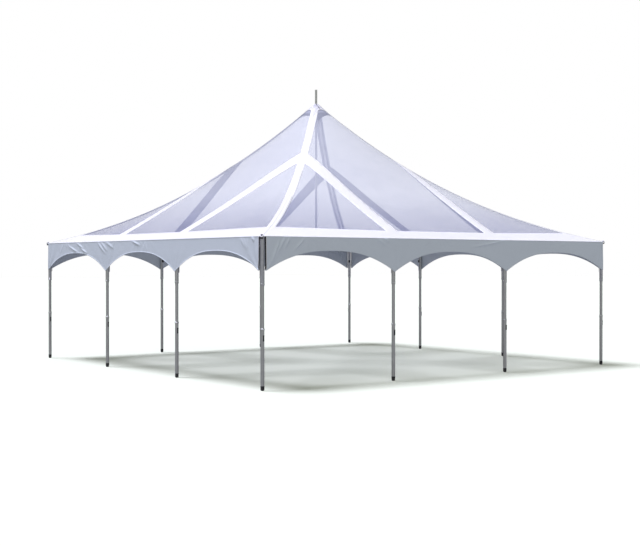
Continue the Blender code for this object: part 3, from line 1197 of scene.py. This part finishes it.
@dataclass(frozen=True)
class Valance:
    """The scalloped cloth below the eave of one side."""

    size: TentSize
    side: int
    slit: float = 0.064
    arch: float = 2.50
    power: float = 2.4
    thickness: float = 0.0012
    hem: float = 0.022
    plane_gap: float = 0.0025  # from the roof's edge in to the cloth
    strip: Point = (0.030, 0.004)  # width and thickness of a closing strip
    piping: Point = (0.014, 0.005)
    corner_radius: float = 0.05
    cloth_share: float = 0.58  # of the cloth's rectangle, which the arches leave
    columns: int = 600
    rows: int = 28

    @property
    def end(self) -> float:
        """Half the length of the cloth."""
        return self.size.edge - self.slit

    @property
    def closed_end(self) -> float:
        """The end that has a dark closing strip: the other one is wrapped round its corner."""
        return -1.0 if self.side % 2 == 0 else 1.0

    def bottom(self, x: float) -> float:
        """Height of the scalloped edge."""
        bay = self.size.bay
        across = (x + self.size.half) / bay
        share = 2.0 * (across - math.floor(min(BAYS - 1e-6, max(0.0, across)))) - 1.0
        height = self.arch - (self.arch - self.size.valance_tip) * min(1.0, abs(share)) ** self.power
        corner = max(0.0, 1.0 - (self.end - abs(x)) / 0.05)
        return height + 0.03 * corner**2

    def folds(self) -> list[Fold | Crease]:
        """The folds of this side: fans over its legs, the strong creases, and some slight ones."""
        rng = random.Random(40 + self.side)
        shapes = []
        for index in range(BAYS + 1):
            x = -self.size.half + self.size.bay * index
            strong = index in (0, BAYS)
            depth = 0.0065 if strong else 0.0028
            reach = 0.42 if strong else 0.30
            rays = rng.uniform(13.0, 17.0)
            depth *= rng.uniform(0.8, 1.2)
            phase = rng.uniform(0.0, math.tau)
            shapes.append(Fold(x, self.size.valance_tip - 0.04, depth, rays, phase, reach))
        for _ in range(4):
            x = rng.uniform(-0.9, 0.9) * self.size.half
            rays = rng.uniform(8.0, 13.0)
            shapes.append(Fold(x, self.size.valance_top + 0.05, 0.0030, rays, rng.uniform(0.0, 6.0), 0.22))
        mirror = -1.0 if self.side == 1 else 1.0
        for start, end in (FRONT_CREASES, LEFT_CREASES)[self.side % 2]:
            shapes.append(Crease((start[0] * mirror, start[1]), (end[0] * mirror, end[1])))
        for _ in range(9):
            x = rng.uniform(-0.97, 0.97) * self.end
            lean = rng.uniform(-0.28, 0.28)
            low = rng.uniform(2.50, 2.64)
            depth = rng.uniform(0.003, 0.007)
            shapes.append(Crease((x, 2.75), (x + lean, low), depth, rng.uniform(0.018, 0.030)))
        return shapes

    def surface(self) -> Callable[[float, float], float]:
        """A rule that gives the cloth's place across the side, from a place along it and a height."""
        folds = self.folds()
        plane = -self.size.edge + self.plane_gap

        def place(x: float, z: float) -> float:
            free = min(1.0, max(0.0, self.size.valance_top - z) / 0.035)
            hang = 0.004 * min(1.0, (self.size.valance_top - z) / 0.3)
            return plane - free * (sum(fold.depth_at(x, z) for fold in folds) + hang)

        return place

    def cloth(self) -> Bm:
        """The cloth in the front side's place, from its welded top to its scalloped edge."""
        place = self.surface()
        top = self.size.valance_top + 0.001

        def spot(across: float, up: float) -> Sequence[float]:
            x = across * self.end
            low = self.bottom(x)
            z = low + (top - low) * up
            return (x, place(x, z), z)

        return mapped_grid(self.columns, self.rows, spot)

    def hem_strip(self) -> Bm:
        """The doubled hem, proud of the cloth along its scalloped edge."""
        place = self.surface()

        def spot(across: float, up: float) -> Sequence[float]:
            x = across * self.end
            z = self.bottom(x) + self.hem * up - 0.0005
            return (x, place(x, z) - 0.0016, z)

        return mapped_grid(self.columns, 2, spot)

    def upright(self, size: Point, centre_x: float) -> Bm:
        """A narrow strip down one end of the cloth.

        Args:
            size: Its width and thickness.
            centre_x: Its place along the side.

        Returns:
            The strip.
        """
        width, thickness = size
        place = self.surface()
        top, bottom = self.size.valance_top - 0.012, self.bottom(centre_x) + 0.012
        path = []
        for step in range(25):
            z = bottom + (top - bottom) * step / 24
            path.append(Vector((centre_x, place(centre_x, z) - self.thickness - thickness / 2, z)))
        corners = ((-1.0, -1.0), (1.0, -1.0), (1.0, 1.0), (-1.0, 1.0))
        section = [Vector((x * width / 2, y * thickness / 2, 0.0)) for x, y in corners]
        return swept(section, path)

    def corner_wrap(self) -> Bm:
        """The cloth round the open corner: a rounded flap over the ends of both valances."""
        edge, radius = self.size.edge + 0.001, self.corner_radius
        overlap = 0.018
        straight = self.slit - radius + overlap
        arc = radius * math.pi / 2.0
        total = 2.0 * straight + arc
        sign = -self.closed_end

        def spot(across: float, up: float) -> Sequence[float]:
            along = (across + 1.0) / 2.0 * total
            if along < straight:
                x, y = edge - radius - straight + along, -edge
            elif along > total - straight:
                x, y = edge, -edge + radius + along - (total - straight)
            else:
                turn = (along - straight) / radius
                x, y = edge - radius + radius * math.sin(turn), -edge + radius - radius * math.cos(turn)
            low = self.size.valance_tip + 0.02
            z = low + (self.size.valance_top - 0.004 - low) * up
            sag = 0.002 * math.sin(9.0 * z) * math.sin(math.pi * (across + 1.0) / 2.0)
            return (sign * (x + sag), y - sag, z)

        return mapped_grid(26, 24, spot)

    def build(self, wardrobe: Wardrobe) -> None:
        """Make and dress the valance."""
        name = SIDE_NAMES[self.side]
        turn = side_turn(self.side)
        # The weld line is darkened as painted shade under the eave band's roll.
        weld_shade_z = self.size.valance_top - 0.010
        # The valance's tones are white vinyl darkened and blued: painted shade.
        finish = ValanceVinyl("valance_vinyl", Slot.VALANCE, *VALANCE_SHADE_TONES, weld_shade_z=weld_shade_z)
        light = Vinyl("hem_vinyl", Slot.VALANCE, *HEM_TONES)
        form = moved(self.cloth(), turn)
        cloth = wardrobe.piece(f"valance_cloth_{name}", form, finish, [f"valance_{name}"])
        wardrobe.thicken(cloth, self.thickness)
        hem = wardrobe.piece(f"valance_hem_{name}", moved(self.hem_strip(), turn), finish)
        wardrobe.thicken(hem, self.thickness)
        inner = self.end - self.strip[0] - self.piping[0] / 2
        strip = self.upright(self.strip, self.closed_end * (self.end - self.strip[0] / 2))
        dark = Moulding(Slot.PLASTIC, 0.8, 0.05)
        closure = wardrobe.piece(f"valance_closure_{name}", moved(strip, turn), dark)
        piping = self.upright(self.piping, self.closed_end * inner)
        edging = wardrobe.piece(f"valance_piping_{name}", moved(piping, turn), light)
        if self.closed_end < 0.0:
            wrap = wardrobe.piece(f"corner_wrap_{name}", moved(self.corner_wrap(), turn), finish)
            wardrobe.thicken(wrap, self.thickness)
        drop = self.size.valance_top - self.size.valance_tip
        2.0 * self.end
        self.cloth_share * 2.0 * self.end * drop


# The frame


@dataclass(frozen=True)
class Leg:
    """A telescoping leg: two tubes, a collar, pins, a latch and a rubber foot."""

    size: TentSize
    lower_radius: float = 0.035
    lower_top: float = 1.11
    collar: Point = (0.0385, 0.030)  # radius and height
    wall: float = 0.003
    foot_radius: float = 0.0365
    foot_height: float = 0.085
    hole_radius: float = 0.006
    latch_z: float = 0.935

    def upper(self) -> Bm:
        """The upper tube, with its adjustment holes."""
        low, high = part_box("leg_upper_01")
        body = tube(self.size.leg_radius, self.wall, low.z, high.z)
        holes = [self.cross_bar(z, self.hole_radius, 0.1) for z in (1.22, 1.32, 1.42)]
        return carved(body, holes, Join.CUT)

    def cross_bar(self, z: float, radius: float, length: float, turn: float = 0.0) -> Bm:
        """A bar through the leg's axis."""
        lay = Matrix.Rotation(turn, 4, "Z") @ Matrix.Rotation(math.radians(90.0), 4, "Y")
        centre = Matrix.Translation((0.0, 0.0, z)) @ lay @ Matrix.Translation((0.0, 0.0, -length / 2))
        return moved(bar(radius, length, radius * 0.2, 16), centre)

    def lower(self) -> Bm:
        """The lower tube with its collar."""
        radius, inner, top = self.lower_radius, self.lower_radius - self.wall, self.lower_top
        collar_radius, collar_height = self.collar
        ease = 0.0015
        profile = [
            (inner, self.foot_height - 0.02),
            (radius, self.foot_height - 0.02),
            (radius, top - collar_height),
            (collar_radius - ease, top - collar_height),
            (collar_radius, top - collar_height + ease),
            (collar_radius, top - ease),
            (collar_radius - ease, top),
            (self.size.leg_radius + 0.0004, top),
            (self.size.leg_radius + 0.0004, top - 0.05),
            (inner, top - 0.06),
        ]
        return turned(profile, closed=True)

    def foot(self) -> Bm:
        """The ribbed rubber foot, with a rounded end."""
        outer, height, rise, steps = self.foot_radius, self.foot_height, 0.030, 8
        flat = 0.4 * outer
        profile = [(0.0, 0.0)]
        for step in range(steps + 1):
            turn = math.radians(90.0 * step / steps)
            profile.append((flat + (outer - flat) * math.sin(turn), rise * (1.0 - math.cos(turn))))
        groove = outer - 0.0022
        for rib in range(3):
            z = rise + 0.006 + 0.014 * rib
            profile.extend([(outer, z), (groove, z + 0.002), (groove, z + 0.005), (outer, z + 0.007)])
        inner = self.lower_radius + 0.0002
        profile.extend([(outer, height - 0.003), (outer - 0.0012, height), (inner, height)])
        profile.extend([(inner, 0.05), (0.0, 0.05)])
        return turned(profile)

    def hardware(self) -> Bm:
        """The pins through the collar and the sleeve, each with its heads and its wire clip."""
        parts = []
        quarter = math.radians(90.0)
        collar_pin = (self.lower_top - 0.015, self.collar[0])
        sleeve_pin = (self.size.sleeve_bottom + 0.03, self.size.sleeve_radius)
        for z, radius in (collar_pin, sleeve_pin):
            parts.append(self.cross_bar(z, 0.0048, 2.0 * radius + 0.018, quarter))
            for side in (-1.0, 1.0):
                head = bar(0.0095, 0.004, 0.001, 20)
                spot = Matrix.Translation((0.0, side * (radius + 0.004), z))
                parts.append(moved(head, spot @ Matrix.Rotation(-quarter * side, 4, "X")))
            tilt = Matrix.Translation((0.0, 0.0, z)) @ Matrix.Rotation(math.radians(8.0), 4, "Y")
            parts.append(moved(ring(radius + 0.0045, 0.0038, 40), tilt))
        return joined(parts)

    def latch(self) -> Bm:
        """The black latch on the leg's outer side: a base, a lever and its hinge."""
        front, z = -self.lower_radius, self.latch_z
        return joined(
            [
                block((0.026, 0.010, 0.110), (0.0, front - 0.003, z), 0.003),
                block((0.020, 0.010, 0.085), (0.0, front - 0.012, z - 0.006), 0.004),
                laid_bar(0.006, 0.030, (-0.015, front - 0.011, z + 0.045)),
            ]
        )

    def build(self, wardrobe: Wardrobe) -> None:
        """Make the leg once and stand a copy at each place."""
        metal = DrawnTube()
        rubber, plastic = Moulding(Slot.RUBBER, 0.7, 0.10), Moulding(Slot.PLASTIC, 0.5, 0.05)
        forms = (
            ("leg_tube_upper", self.upper(), metal, "leg_upper"),
            ("leg_tube_lower", self.lower(), metal, "leg_lower"),
            ("leg_foot", self.foot(), rubber, None),
            ("leg_pins", self.hardware(), Zinc(), None),
            ("leg_latch", self.latch(), plastic, None),
        )
        left_legs = 3 * BAYS  # the legs after this one have their latches towards the front
        for number, place in self.size.leg_places():
            turn = Matrix.Rotation(math.radians(90.0 if number > left_legs else 0.0), 4, "Z")
            for name, form, finish, node in forms:
                stands_for = [f"{node}_{number:02d}"] if node else []
                wardrobe.piece(f"{name}_{number:02d}", copied(form, place @ turn), finish, stands_for)
        for _, form, _, _ in forms:
            form.free()


@dataclass(frozen=True)
class SideRail:
    """The eave tube of a side, its tee fittings and their leg sleeves."""

    size: TentSize
    radius: float = 0.03175
    wall: float = 0.003
    socket_reach: float = 0.25
    socket_radius: float = 0.0375
    bore_gap: float = 0.0003
    end_gap: float = 0.0603

    def along(self, centre: float, reach: float, radius: float) -> Bm:
        """A round bar along the front rail's axis."""
        start = Vector((centre - reach, -self.size.half, self.size.rail_z))
        return moved(bar(radius, 2.0 * reach, 0.0015), between(start, start + Vector((1.0, 0.0, 0.0))))

    def form(self) -> Bm:
        """The front rail, in one body."""
        size = self.size
        legs = [-size.half + size.bay * index for index in range(1, BAYS)]
        adds = []
        for x in legs:
            adds.append(self.along(x, self.socket_reach, self.socket_radius))
            sleeve = bar(size.sleeve_radius, size.rail_z - size.sleeve_bottom, 0.0015)
            adds.append(moved(sleeve, Matrix.Translation((x, -size.half, size.sleeve_bottom))))
        body = carved(self.along(0.0, size.half - self.end_gap, self.radius), adds, Join.ADD)
        cuts = [self.along(0.0, size.half, self.radius - self.wall)]
        for x in legs:
            bore = bar(size.leg_radius + self.bore_gap, size.leg_top - size.sleeve_bottom + 0.003, 0.0001)
            cuts.append(moved(bore, Matrix.Translation((x, -size.half, size.sleeve_bottom - 0.003))))
        return carved(body, cuts, Join.CUT)

    def bolts(self) -> Bm:
        """The bolts that pin each tee fitting to its tubes."""
        parts = []
        for index in range(1, BAYS):
            for side in (-1.0, 1.0):
                x = -self.size.half + self.size.bay * index + side * (self.socket_reach - 0.05)
                start = Vector((x, -self.size.half + self.socket_radius - 0.001, self.size.rail_z))
                head = turned([(0.0, 0.0), (0.0095, 0.0), (0.0095, 0.006), (0.0, 0.006)], 6)
                parts.append(moved(head, between(start, start + Vector((0.0, 1.0, 0.0)))))
        return joined(parts)

    def build(self, wardrobe: Wardrobe) -> None:
        """Make the front rail and turn a copy to each side."""
        rail, bolts = self.form(), self.bolts()
        for side, name in enumerate(SIDE_NAMES):
            finish = DrawnTube("X" if side % 2 == 0 else "Y")
            wardrobe.piece(f"eave_rail_{name}", copied(rail, side_turn(side)), finish, [f"side_rail_{name}"])
            wardrobe.piece(f"rail_bolts_{name}", copied(bolts, side_turn(side)), Zinc())
        rail.free()
        bolts.free()


@dataclass(frozen=True)
class CornerFitting:
    """The three-way socket of a corner, with its cable lug and the ring on its top."""

    size: TentSize
    socket_reach: float = 0.25
    socket_radius: float = 0.0375
    socket_floor: float = 0.06
    bore_gap: float = 0.0003
    lug: Sequence[float] = (0.10, 0.014, 0.05)
    lug_z: float = 2.69
    lug_hole: float = 0.008
    ring: Point = (0.029, 0.012)  # radius of its centre line and of its wire
    ring_z: float = 2.768
    ring_lean: float = 35.0  # degrees, back onto the roof's corner
    ring_inset: float = 0.010
    plate: Point = (0.006, 0.056)  # thickness and width

    def form(self) -> Bm:
        """The front left corner's fitting, in one body."""
        size = self.size
        corner = Vector((-size.half, -size.half, size.rail_z))
        foot = Vector((corner.x, corner.y, size.sleeve_bottom))
        inward = Vector((1.0, 1.0, 0.0)).normalized()
        height = size.rail_z + self.socket_radius / 2 - foot.z
        body = moved(bar(size.sleeve_radius, height, 0.002), Matrix.Translation(foot))
        ways = (Vector((1.0, 0.0, 0.0)), Vector((0.0, 1.0, 0.0)))
        adds = []
        for way in ways:
            socket = bar(self.socket_radius, self.socket_reach, 0.0015)
            adds.append(moved(socket, between(corner, corner + way)))
        lug_spot = Matrix.Translation((corner.x, corner.y, self.lug_z))
        lug_place = lug_spot @ Matrix.Rotation(math.radians(45.0), 4, "Z")
        adds.append(moved(block(self.lug, (self.lug[0] / 2, 0.0, 0.0), 0.003), lug_place))
        body = carved(body, adds, Join.ADD)
        bore_radius = size.leg_radius + self.bore_gap
        cuts = []
        for way in ways:
            start = corner + way * self.socket_floor
            cuts.append(moved(bar(bore_radius, self.socket_reach, 0.0001), between(start, start + way)))
        low = foot - Vector((0.0, 0.0, 0.003))
        cuts.append(moved(bar(bore_radius, size.leg_top - low.z, 0.0001), Matrix.Translation(low)))
        eye = Vector((corner.x, corner.y, self.lug_z)) + inward * (self.lug[0] - 0.016)
        side_way = Vector((1.0, -1.0, 0.0)).normalized()
        cuts.append(moved(bar(self.lug_hole, 0.05, 0.0001, 20), between(eye - side_way * 0.025, eye)))
        return carved(body, cuts, Join.CUT)

    @property
    def outward(self) -> Matrix:
        """The place at the roof's corner, with its -X side facing out."""
        corner = Vector((-self.size.edge, -self.size.edge, self.ring_z))
        return Matrix.Translation(corner) @ Matrix.Rotation(math.radians(45.0), 4, "Z")

    def eye(self) -> Bm:
        """The ring that leans back on the roof's corner."""
        tilt = Matrix.Rotation(math.radians(90.0 + self.ring_lean), 4, "Y")
        place = self.outward @ Matrix.Translation((self.ring_inset, 0.0, 0.0)) @ tilt
        return moved(ring(*self.ring, 36), place)

    def shade_button_and_arm(self) -> Bm:
        """The black button in the ring, put in its hole as painted shade, and the plate and arm that carry
        the ring from the fitting.
        """
        major, minor = self.ring
        radius = major - minor * 0.4
        profile = [(0.0, -0.004), (radius, -0.004), (radius, 0.002), (radius - 0.004, 0.005), (0.006, 0.006)]
        tilt = Matrix.Rotation(math.radians(self.ring_lean - 90.0), 4, "Y")
        button = turned([*profile, (0.004, 0.002), (0.0, 0.002)], 32)
        button = moved(button, Matrix.Translation((self.ring_inset, 0.0, 0.0)) @ tilt)
        thickness, width = self.plate
        reach = math.sqrt(2.0) * (self.size.edge - self.size.half) - self.size.sleeve_radius
        low = self.size.rail_z - 0.012
        high = self.ring_z - major * math.cos(math.radians(self.ring_lean))
        plate = block((thickness, width, high - low), (-0.004, 0.0, (high + low) / 2 - self.ring_z), 0.002)
        arm = block((reach + 0.010, 0.026, 0.022), (reach / 2 - 0.003, 0.0, low + 0.012 - self.ring_z), 0.003)
        return moved(joined([button, plate, arm]), self.outward)

    def build(self, wardrobe: Wardrobe) -> None:
        """Make the fitting once and turn a copy to each corner."""
        rubber = Moulding(Slot.RUBBER, 0.7, 0.10)
        fitting, eye, shade_button_and_arm = self.form(), self.eye(), self.shade_button_and_arm()
        for side in range(4):
            name = f"corner_socket_{side + 1}"
            wardrobe.piece(name, copied(fitting, side_turn(side)), Casting(), [f"corner_fitting_{side + 1}"])
            coating = Vinyl("ring_coating", Slot.WHITE)
            wardrobe.piece(f"corner_ring_{side + 1}", copied(eye, side_turn(side)), coating)
            # The black button in each ring's hole is painted shade.
            wardrobe.piece(f"corner_grommet_{side + 1}", copied(shade_button_and_arm, side_turn(side)), rubber)
        for form in (fitting, eye, shade_button_and_arm):
            form.free()


@dataclass(frozen=True)
class Mast:
    """The mast, its hub and the stranded cables that carry it."""

    size: TentSize
    radius: float = 0.0254
    hub_radius: float = 0.065
    collar: Point = (0.036, 0.060)  # radius and height
    lug: Sequence[float] = (0.10, 0.014, 0.05)
    hub_lug_z: float = 2.60
    strands: int = 6
    strand_radius: float = 0.00125
    strand_circle: float = 0.0026
    lay: float = 0.11  # length of one turn of a strand
    terminal: Point = (0.009, 0.16)  # radius and length

    def pole(self) -> Bm:
        """The mast tube with its collar and rounded cap."""
        low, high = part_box("mast")
        collar_radius, collar_height = self.collar
        web_low = self.size.peak - 0.02
        ease = 0.004
        profile = [
            (0.0, high.z),
            (self.radius - ease, high.z),
            (self.radius - ease * 0.3, high.z - ease * 0.3),
            (self.radius, high.z - ease),
            (self.radius, web_low - 0.03),
            (collar_radius, web_low - 0.04),
            (collar_radius, web_low - collar_height),
            (self.radius, web_low - collar_height - 0.01),
            (self.radius, low.z),
            (0.0, low.z),
        ]
        return turned(profile)

    def hub(self) -> Bm:
        """The cup at the mast's foot, with a lug for each cable."""
        low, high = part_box("mast_hub")
        ease = 0.004
        radius, bore = self.hub_radius, self.radius + 0.0003
        floor = low.z + 0.03
        profile = [
            (0.0, low.z),
            (radius - ease, low.z),
            (radius, low.z + ease),
            (radius, high.z - ease),
            (radius - ease, high.z),
            (bore, high.z),
            (bore, floor),
            (0.0, floor),
        ]
        adds = []
        reach, width, height = self.lug[0] * 0.75, self.lug[1], self.lug[2]
        for corner in range(4):
            turn = Matrix.Rotation(math.radians(45.0 + 90.0 * corner), 4, "Z")
            middle = (radius + reach / 2 - 0.01, 0.0, self.hub_lug_z)
            adds.append(moved(block((reach + 0.02, width, height), middle, 0.003), turn))
        return carved(turned(profile, 48), adds, Join.ADD)

    def cable_ends(self) -> tuple[Vector, Vector]:
        """The two ends of the front left cable's axis."""
        low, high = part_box("cable_1")
        radius = self.terminal[0]
        inset = radius / math.sqrt(2.0)
        start = Vector((low.x + inset, low.y + inset, high.z - radius))
        return start, Vector((high.x - inset, high.y - inset, low.z + radius))

    def rope(self) -> Bm:
        """The front left cable: strands laid round a core."""
        start, end = self.cable_ends()
        reach = self.terminal[1] * 0.5
        length = (end - start).length - 2.0 * reach
        turns = length / self.lay
        steps = int(turns * 9)
        bm = bmesh.new()
        for strand in range(self.strands):
            turn = Matrix.Rotation(math.tau * strand / self.strands, 4, "Z")
            place = turn @ Matrix.Translation((self.strand_circle, 0.0, 0.0))
            made = bmesh.ops.create_circle(
                bm, cap_ends=True, segments=5, radius=self.strand_radius, matrix=place
            )
            edges = list({edge for vertex in made["verts"] for edge in vertex.link_edges})
            bmesh.ops.spin(
                bm,
                geom=[*made["verts"], *edges],
                cent=(0, 0, 0),
                axis=(0, 0, 1),
                dvec=(0, 0, length / steps),
                angle=math.tau * turns,
                steps=steps,
            )
        bmesh.ops.holes_fill(bm, edges=[edge for edge in bm.edges if edge.is_boundary], sides=0)
        bmesh.ops.recalc_face_normals(bm, faces=bm.faces)
        way = (end - start).normalized()
        return moved(bm, between(start + way * reach, end))

    def terminals(self) -> Bm:
        """The swaged terminals, the turnbuckle by the hub and the clevis pins of one cable."""
        start, end = self.cable_ends()
        way = (end - start).normalized()
        radius, length = self.terminal
        taper = [(0.0, 0.0), (radius, 0.0), (radius, length - 0.02), (0.0045, length), (0.0, length)]
        parts = [moved(turned(taper, 24), between(start, end)), moved(turned(taper, 24), between(end, start))]
        for z in (length + 0.03, length + 0.19):
            parts.append(moved(bar(0.008, 0.022, 0.002, 6), between(end - way * z, start)))
        for side in (-1.0, 1.0):
            across = way.cross(Vector((0.0, 0.0, 1.0))).normalized() * 0.010 * side
            first = end - way * (length + 0.04) + across
            parts.append(moved(bar(0.003, 0.16, 0.001, 16), between(first, first - way)))
        return joined(parts)

    def build(self, wardrobe: Wardrobe) -> None:
        """Make and dress the mast, the hub and the cables."""
        enamel_top = self.size.peak - 0.03
        wardrobe.piece("mast_pole", self.pole(), MastEnamel(enamel_top), ["mast"])
        wardrobe.piece("mast_cup", self.hub(), Casting(), ["mast_hub"])
        rope, ends = self.rope(), self.terminals()
        for side in range(4):
            number, turn = side + 1, side_turn(side)
            wardrobe.piece(f"stay_rope_{number}", copied(rope, turn), WireRope(), [f"cable_{number}"])
            wardrobe.piece(f"stay_terminals_{number}", copied(ends, turn), Zinc())
        rope.free()
        ends.free()


@dataclass(frozen=True)
class HangStrap:
    """A white strap with a black buckle, riveted to the inner side of each leg's sleeve."""

    size: TentSize
    width: float = 0.030
    thickness: float = 0.0018
    top: float = 2.60
    bottom: float = 2.085
    buckle_z: float = 2.33
    gap: float = 0.0012  # from the sleeve to the strap

    @property
    def back(self) -> float:
        """Distance of the strap from the leg's axis."""
        return self.size.sleeve_radius + self.gap

    def webbing(self) -> Bm:
        """The strap: flat on the sleeve at its top, then hanging a little clear of it, with a folded end."""
        length = self.top - self.bottom

        def spot(across: float, up: float) -> Sequence[float]:
            hang = (1.0 - up) * length
            away = (1.0 - math.cos(min(1.0, hang / 0.35) * math.pi)) / 2
            sway = 0.010 * away + 0.002 * math.sin(hang * 19.0)
            curl = 0.0015 * across * across
            return (across * self.width / 2, self.back + max(0.0, sway) - curl + 0.0015, self.top - hang)

        strap = mapped_grid(6, 60, spot)
        bmesh.ops.reverse_faces(strap, faces=strap.faces)
        return strap

    def rivet(self) -> Bm:
        """The rivet through the top of the strap, with its washer."""
        profile = [(0.0, 0.0), (0.009, 0.0), (0.009, 0.0015), (0.005, 0.0018), (0.004, 0.0035), (0.0, 0.0042)]
        start = Vector((0.0, self.back + self.thickness + 0.0005, self.top - 0.022))
        return moved(turned(profile, 20), between(start, start + Vector((0.0, 1.0, 0.0))))

    def buckle(self) -> Bm:
        """The black buckle: a frame, a lever and its bar."""
        y, z = self.back + 0.014, self.buckle_z
        return joined(
            [
                block((0.044, 0.008, 0.062), (0.0, y, z), 0.003),
                block((0.034, 0.010, 0.034), (0.0, y + 0.008, z + 0.008), 0.004),
                laid_bar(0.004, 0.048, (-0.024, y + 0.006, z - 0.020)),
            ]
        )

    def build(self, wardrobe: Wardrobe) -> None:
        """Hang a strap on each leg, towards the middle of the tent."""
        strap, rivet, buckle = self.webbing(), self.rivet(), self.buckle()
        plastic = Moulding(Slot.PLASTIC, 0.5, 0.05)
        for number, place in self.size.leg_places():
            is_corner = number % BAYS == 1
            inward = place @ Matrix.Rotation(math.radians(-45.0 if is_corner else 0.0), 4, "Z")
            piece = wardrobe.piece(f"hang_strap_{number:02d}", copied(strap, inward), Webbing())
            wardrobe.thicken(piece, self.thickness)
            wardrobe.piece(f"strap_rivet_{number:02d}", copied(rivet, inward), Zinc())
            wardrobe.piece(f"strap_buckle_{number:02d}", copied(buckle, inward), plastic)
        for form in (strap, rivet, buckle):
            form.free()


# Stage, lights and camera


@dataclass(frozen=True)
class Studio:
    """A plain pale floor under a white sky, with one broad soft lamp overhead."""

    floor_size: float = 150.0
    floor_seen: Sequence[float] = (0.72, 0.755, 0.61)
    floor_bounce: Sequence[float] = (0.20, 0.20, 0.20)
    front_sky: Sequence[float] = (0.608, 0.620, 0.620)  # behind the viewer
    back_sky: Sequence[float] = (0.152, 0.155, 0.155)
    sky_way: Sequence[float] = (-0.597, -0.802)  # from the tent to the viewer, in plan
    sun: float = 3.55
    sun_colour: Sequence[float] = (0.97, 0.965, 1.22)
    sun_softness: float = 22.0  # degrees
    sun_lean: Sequence[float] = (-0.185, 0.22)  # towards the lamp, in plan, for each metre up

    def floor(self) -> None:
        """Lay the floor: pale to look at, with a weaker bounce so that upright cloth reads as shaded."""
        bm = bmesh.new()
        bmesh.ops.create_grid(bm, x_segments=1, y_segments=1, size=self.floor_size)
        mesh = bpy.data.meshes.new("floor")
        bm.to_mesh(mesh)
        bm.free()
        floor = bpy.data.objects.new("floor", mesh)
        bpy.context.scene.collection.objects.link(floor)
        shader = Shader("floor")
        seen = Value(shader, shader.node("ShaderNodeLightPath", {}, {}).outputs["Is Camera Ray"])
        colour = shader.mix(seen, self.floor_bounce, self.floor_seen)
        shader.dress({"Base Color": colour, "Roughness": 0.95, "Specular IOR Level": 0.0})
        mesh.materials.append(shader.material)

    def light(self) -> None:
        """Light the tent from a white sky and one soft lamp."""
        world = bpy.data.worlds.new("sky")
        bpy.context.scene.world = world
        world.use_nodes = True
        nodes = Nodes(world.node_tree)
        way = nodes.node("ShaderNodeTexCoord", {}, {}).outputs["Generated"]
        split = nodes.node("ShaderNodeSeparateXYZ", {}, {0: way})
        x, y = (Value(nodes, split.outputs[i]) for i in range(2))
        forward = (x * self.sky_way[0] + y * self.sky_way[1]) * 0.5 + 0.5
        sky = nodes.mix(forward, self.back_sky, self.front_sky)
        seen = nodes.node("ShaderNodeLightPath", {}, {}).outputs["Is Camera Ray"]
        background = world.node_tree.nodes["Background"]
        world.node_tree.links.new(nodes.mix(seen, sky, (1.0, 1.0, 1.0)), background.inputs["Color"])
        lamp = bpy.data.lights.new("lamp", "SUN")
        lamp.energy = self.sun
        lamp.color = self.sun_colour
        lamp.angle = math.radians(self.sun_softness)
        item = bpy.data.objects.new("lamp", lamp)
        bpy.context.scene.collection.objects.link(item)
        towards = Vector((*self.sun_lean, 1.0))
        item.rotation_euler = towards.to_track_quat("Z", "Y").to_euler()
        bpy.context.scene.view_settings.view_transform = "Standard"


@dataclass(frozen=True)
class Eyepoint:
    """The photograph's viewpoint."""

    place: Sequence[float] = (-16.231, -21.932, 2.263)
    yaw: float = 36.694  # degrees from +Y towards +X
    pitch: float = -0.4506
    lens: float = 66.05

    def build(self) -> None:
        """Make the camera."""
        data = bpy.data.cameras.new("camera")
        data.lens = self.lens
        data.sensor_width = 36.0
        data.clip_end = 1000.0
        camera = bpy.data.objects.new("camera", data)
        bpy.context.scene.collection.objects.link(camera)
        camera.location = self.place
        camera.rotation_euler = (math.radians(90.0 + self.pitch), 0.0, math.radians(-self.yaw))
        bpy.context.scene.camera = camera


def main() -> None:
    """Dress the tent, then set the stage."""
    logging.basicConfig(level=logging.INFO, format="%(name)s: %(message)s")
    size = TentSize.from_frame()
    wardrobe = Wardrobe()
    Eyepoint().build()
    Roof(RoofShape(size)).build(wardrobe)
    for side in range(4):
        Valance(size, side).build(wardrobe)
    Leg(size).build(wardrobe)
    SideRail(size).build(wardrobe)
    CornerFitting(size).build(wardrobe)
    Mast(size).build(wardrobe)
    HangStrap(size).build(wardrobe)
    studio = Studio()
    studio.floor()
    studio.light()


if __name__ == "__main__":
    main()
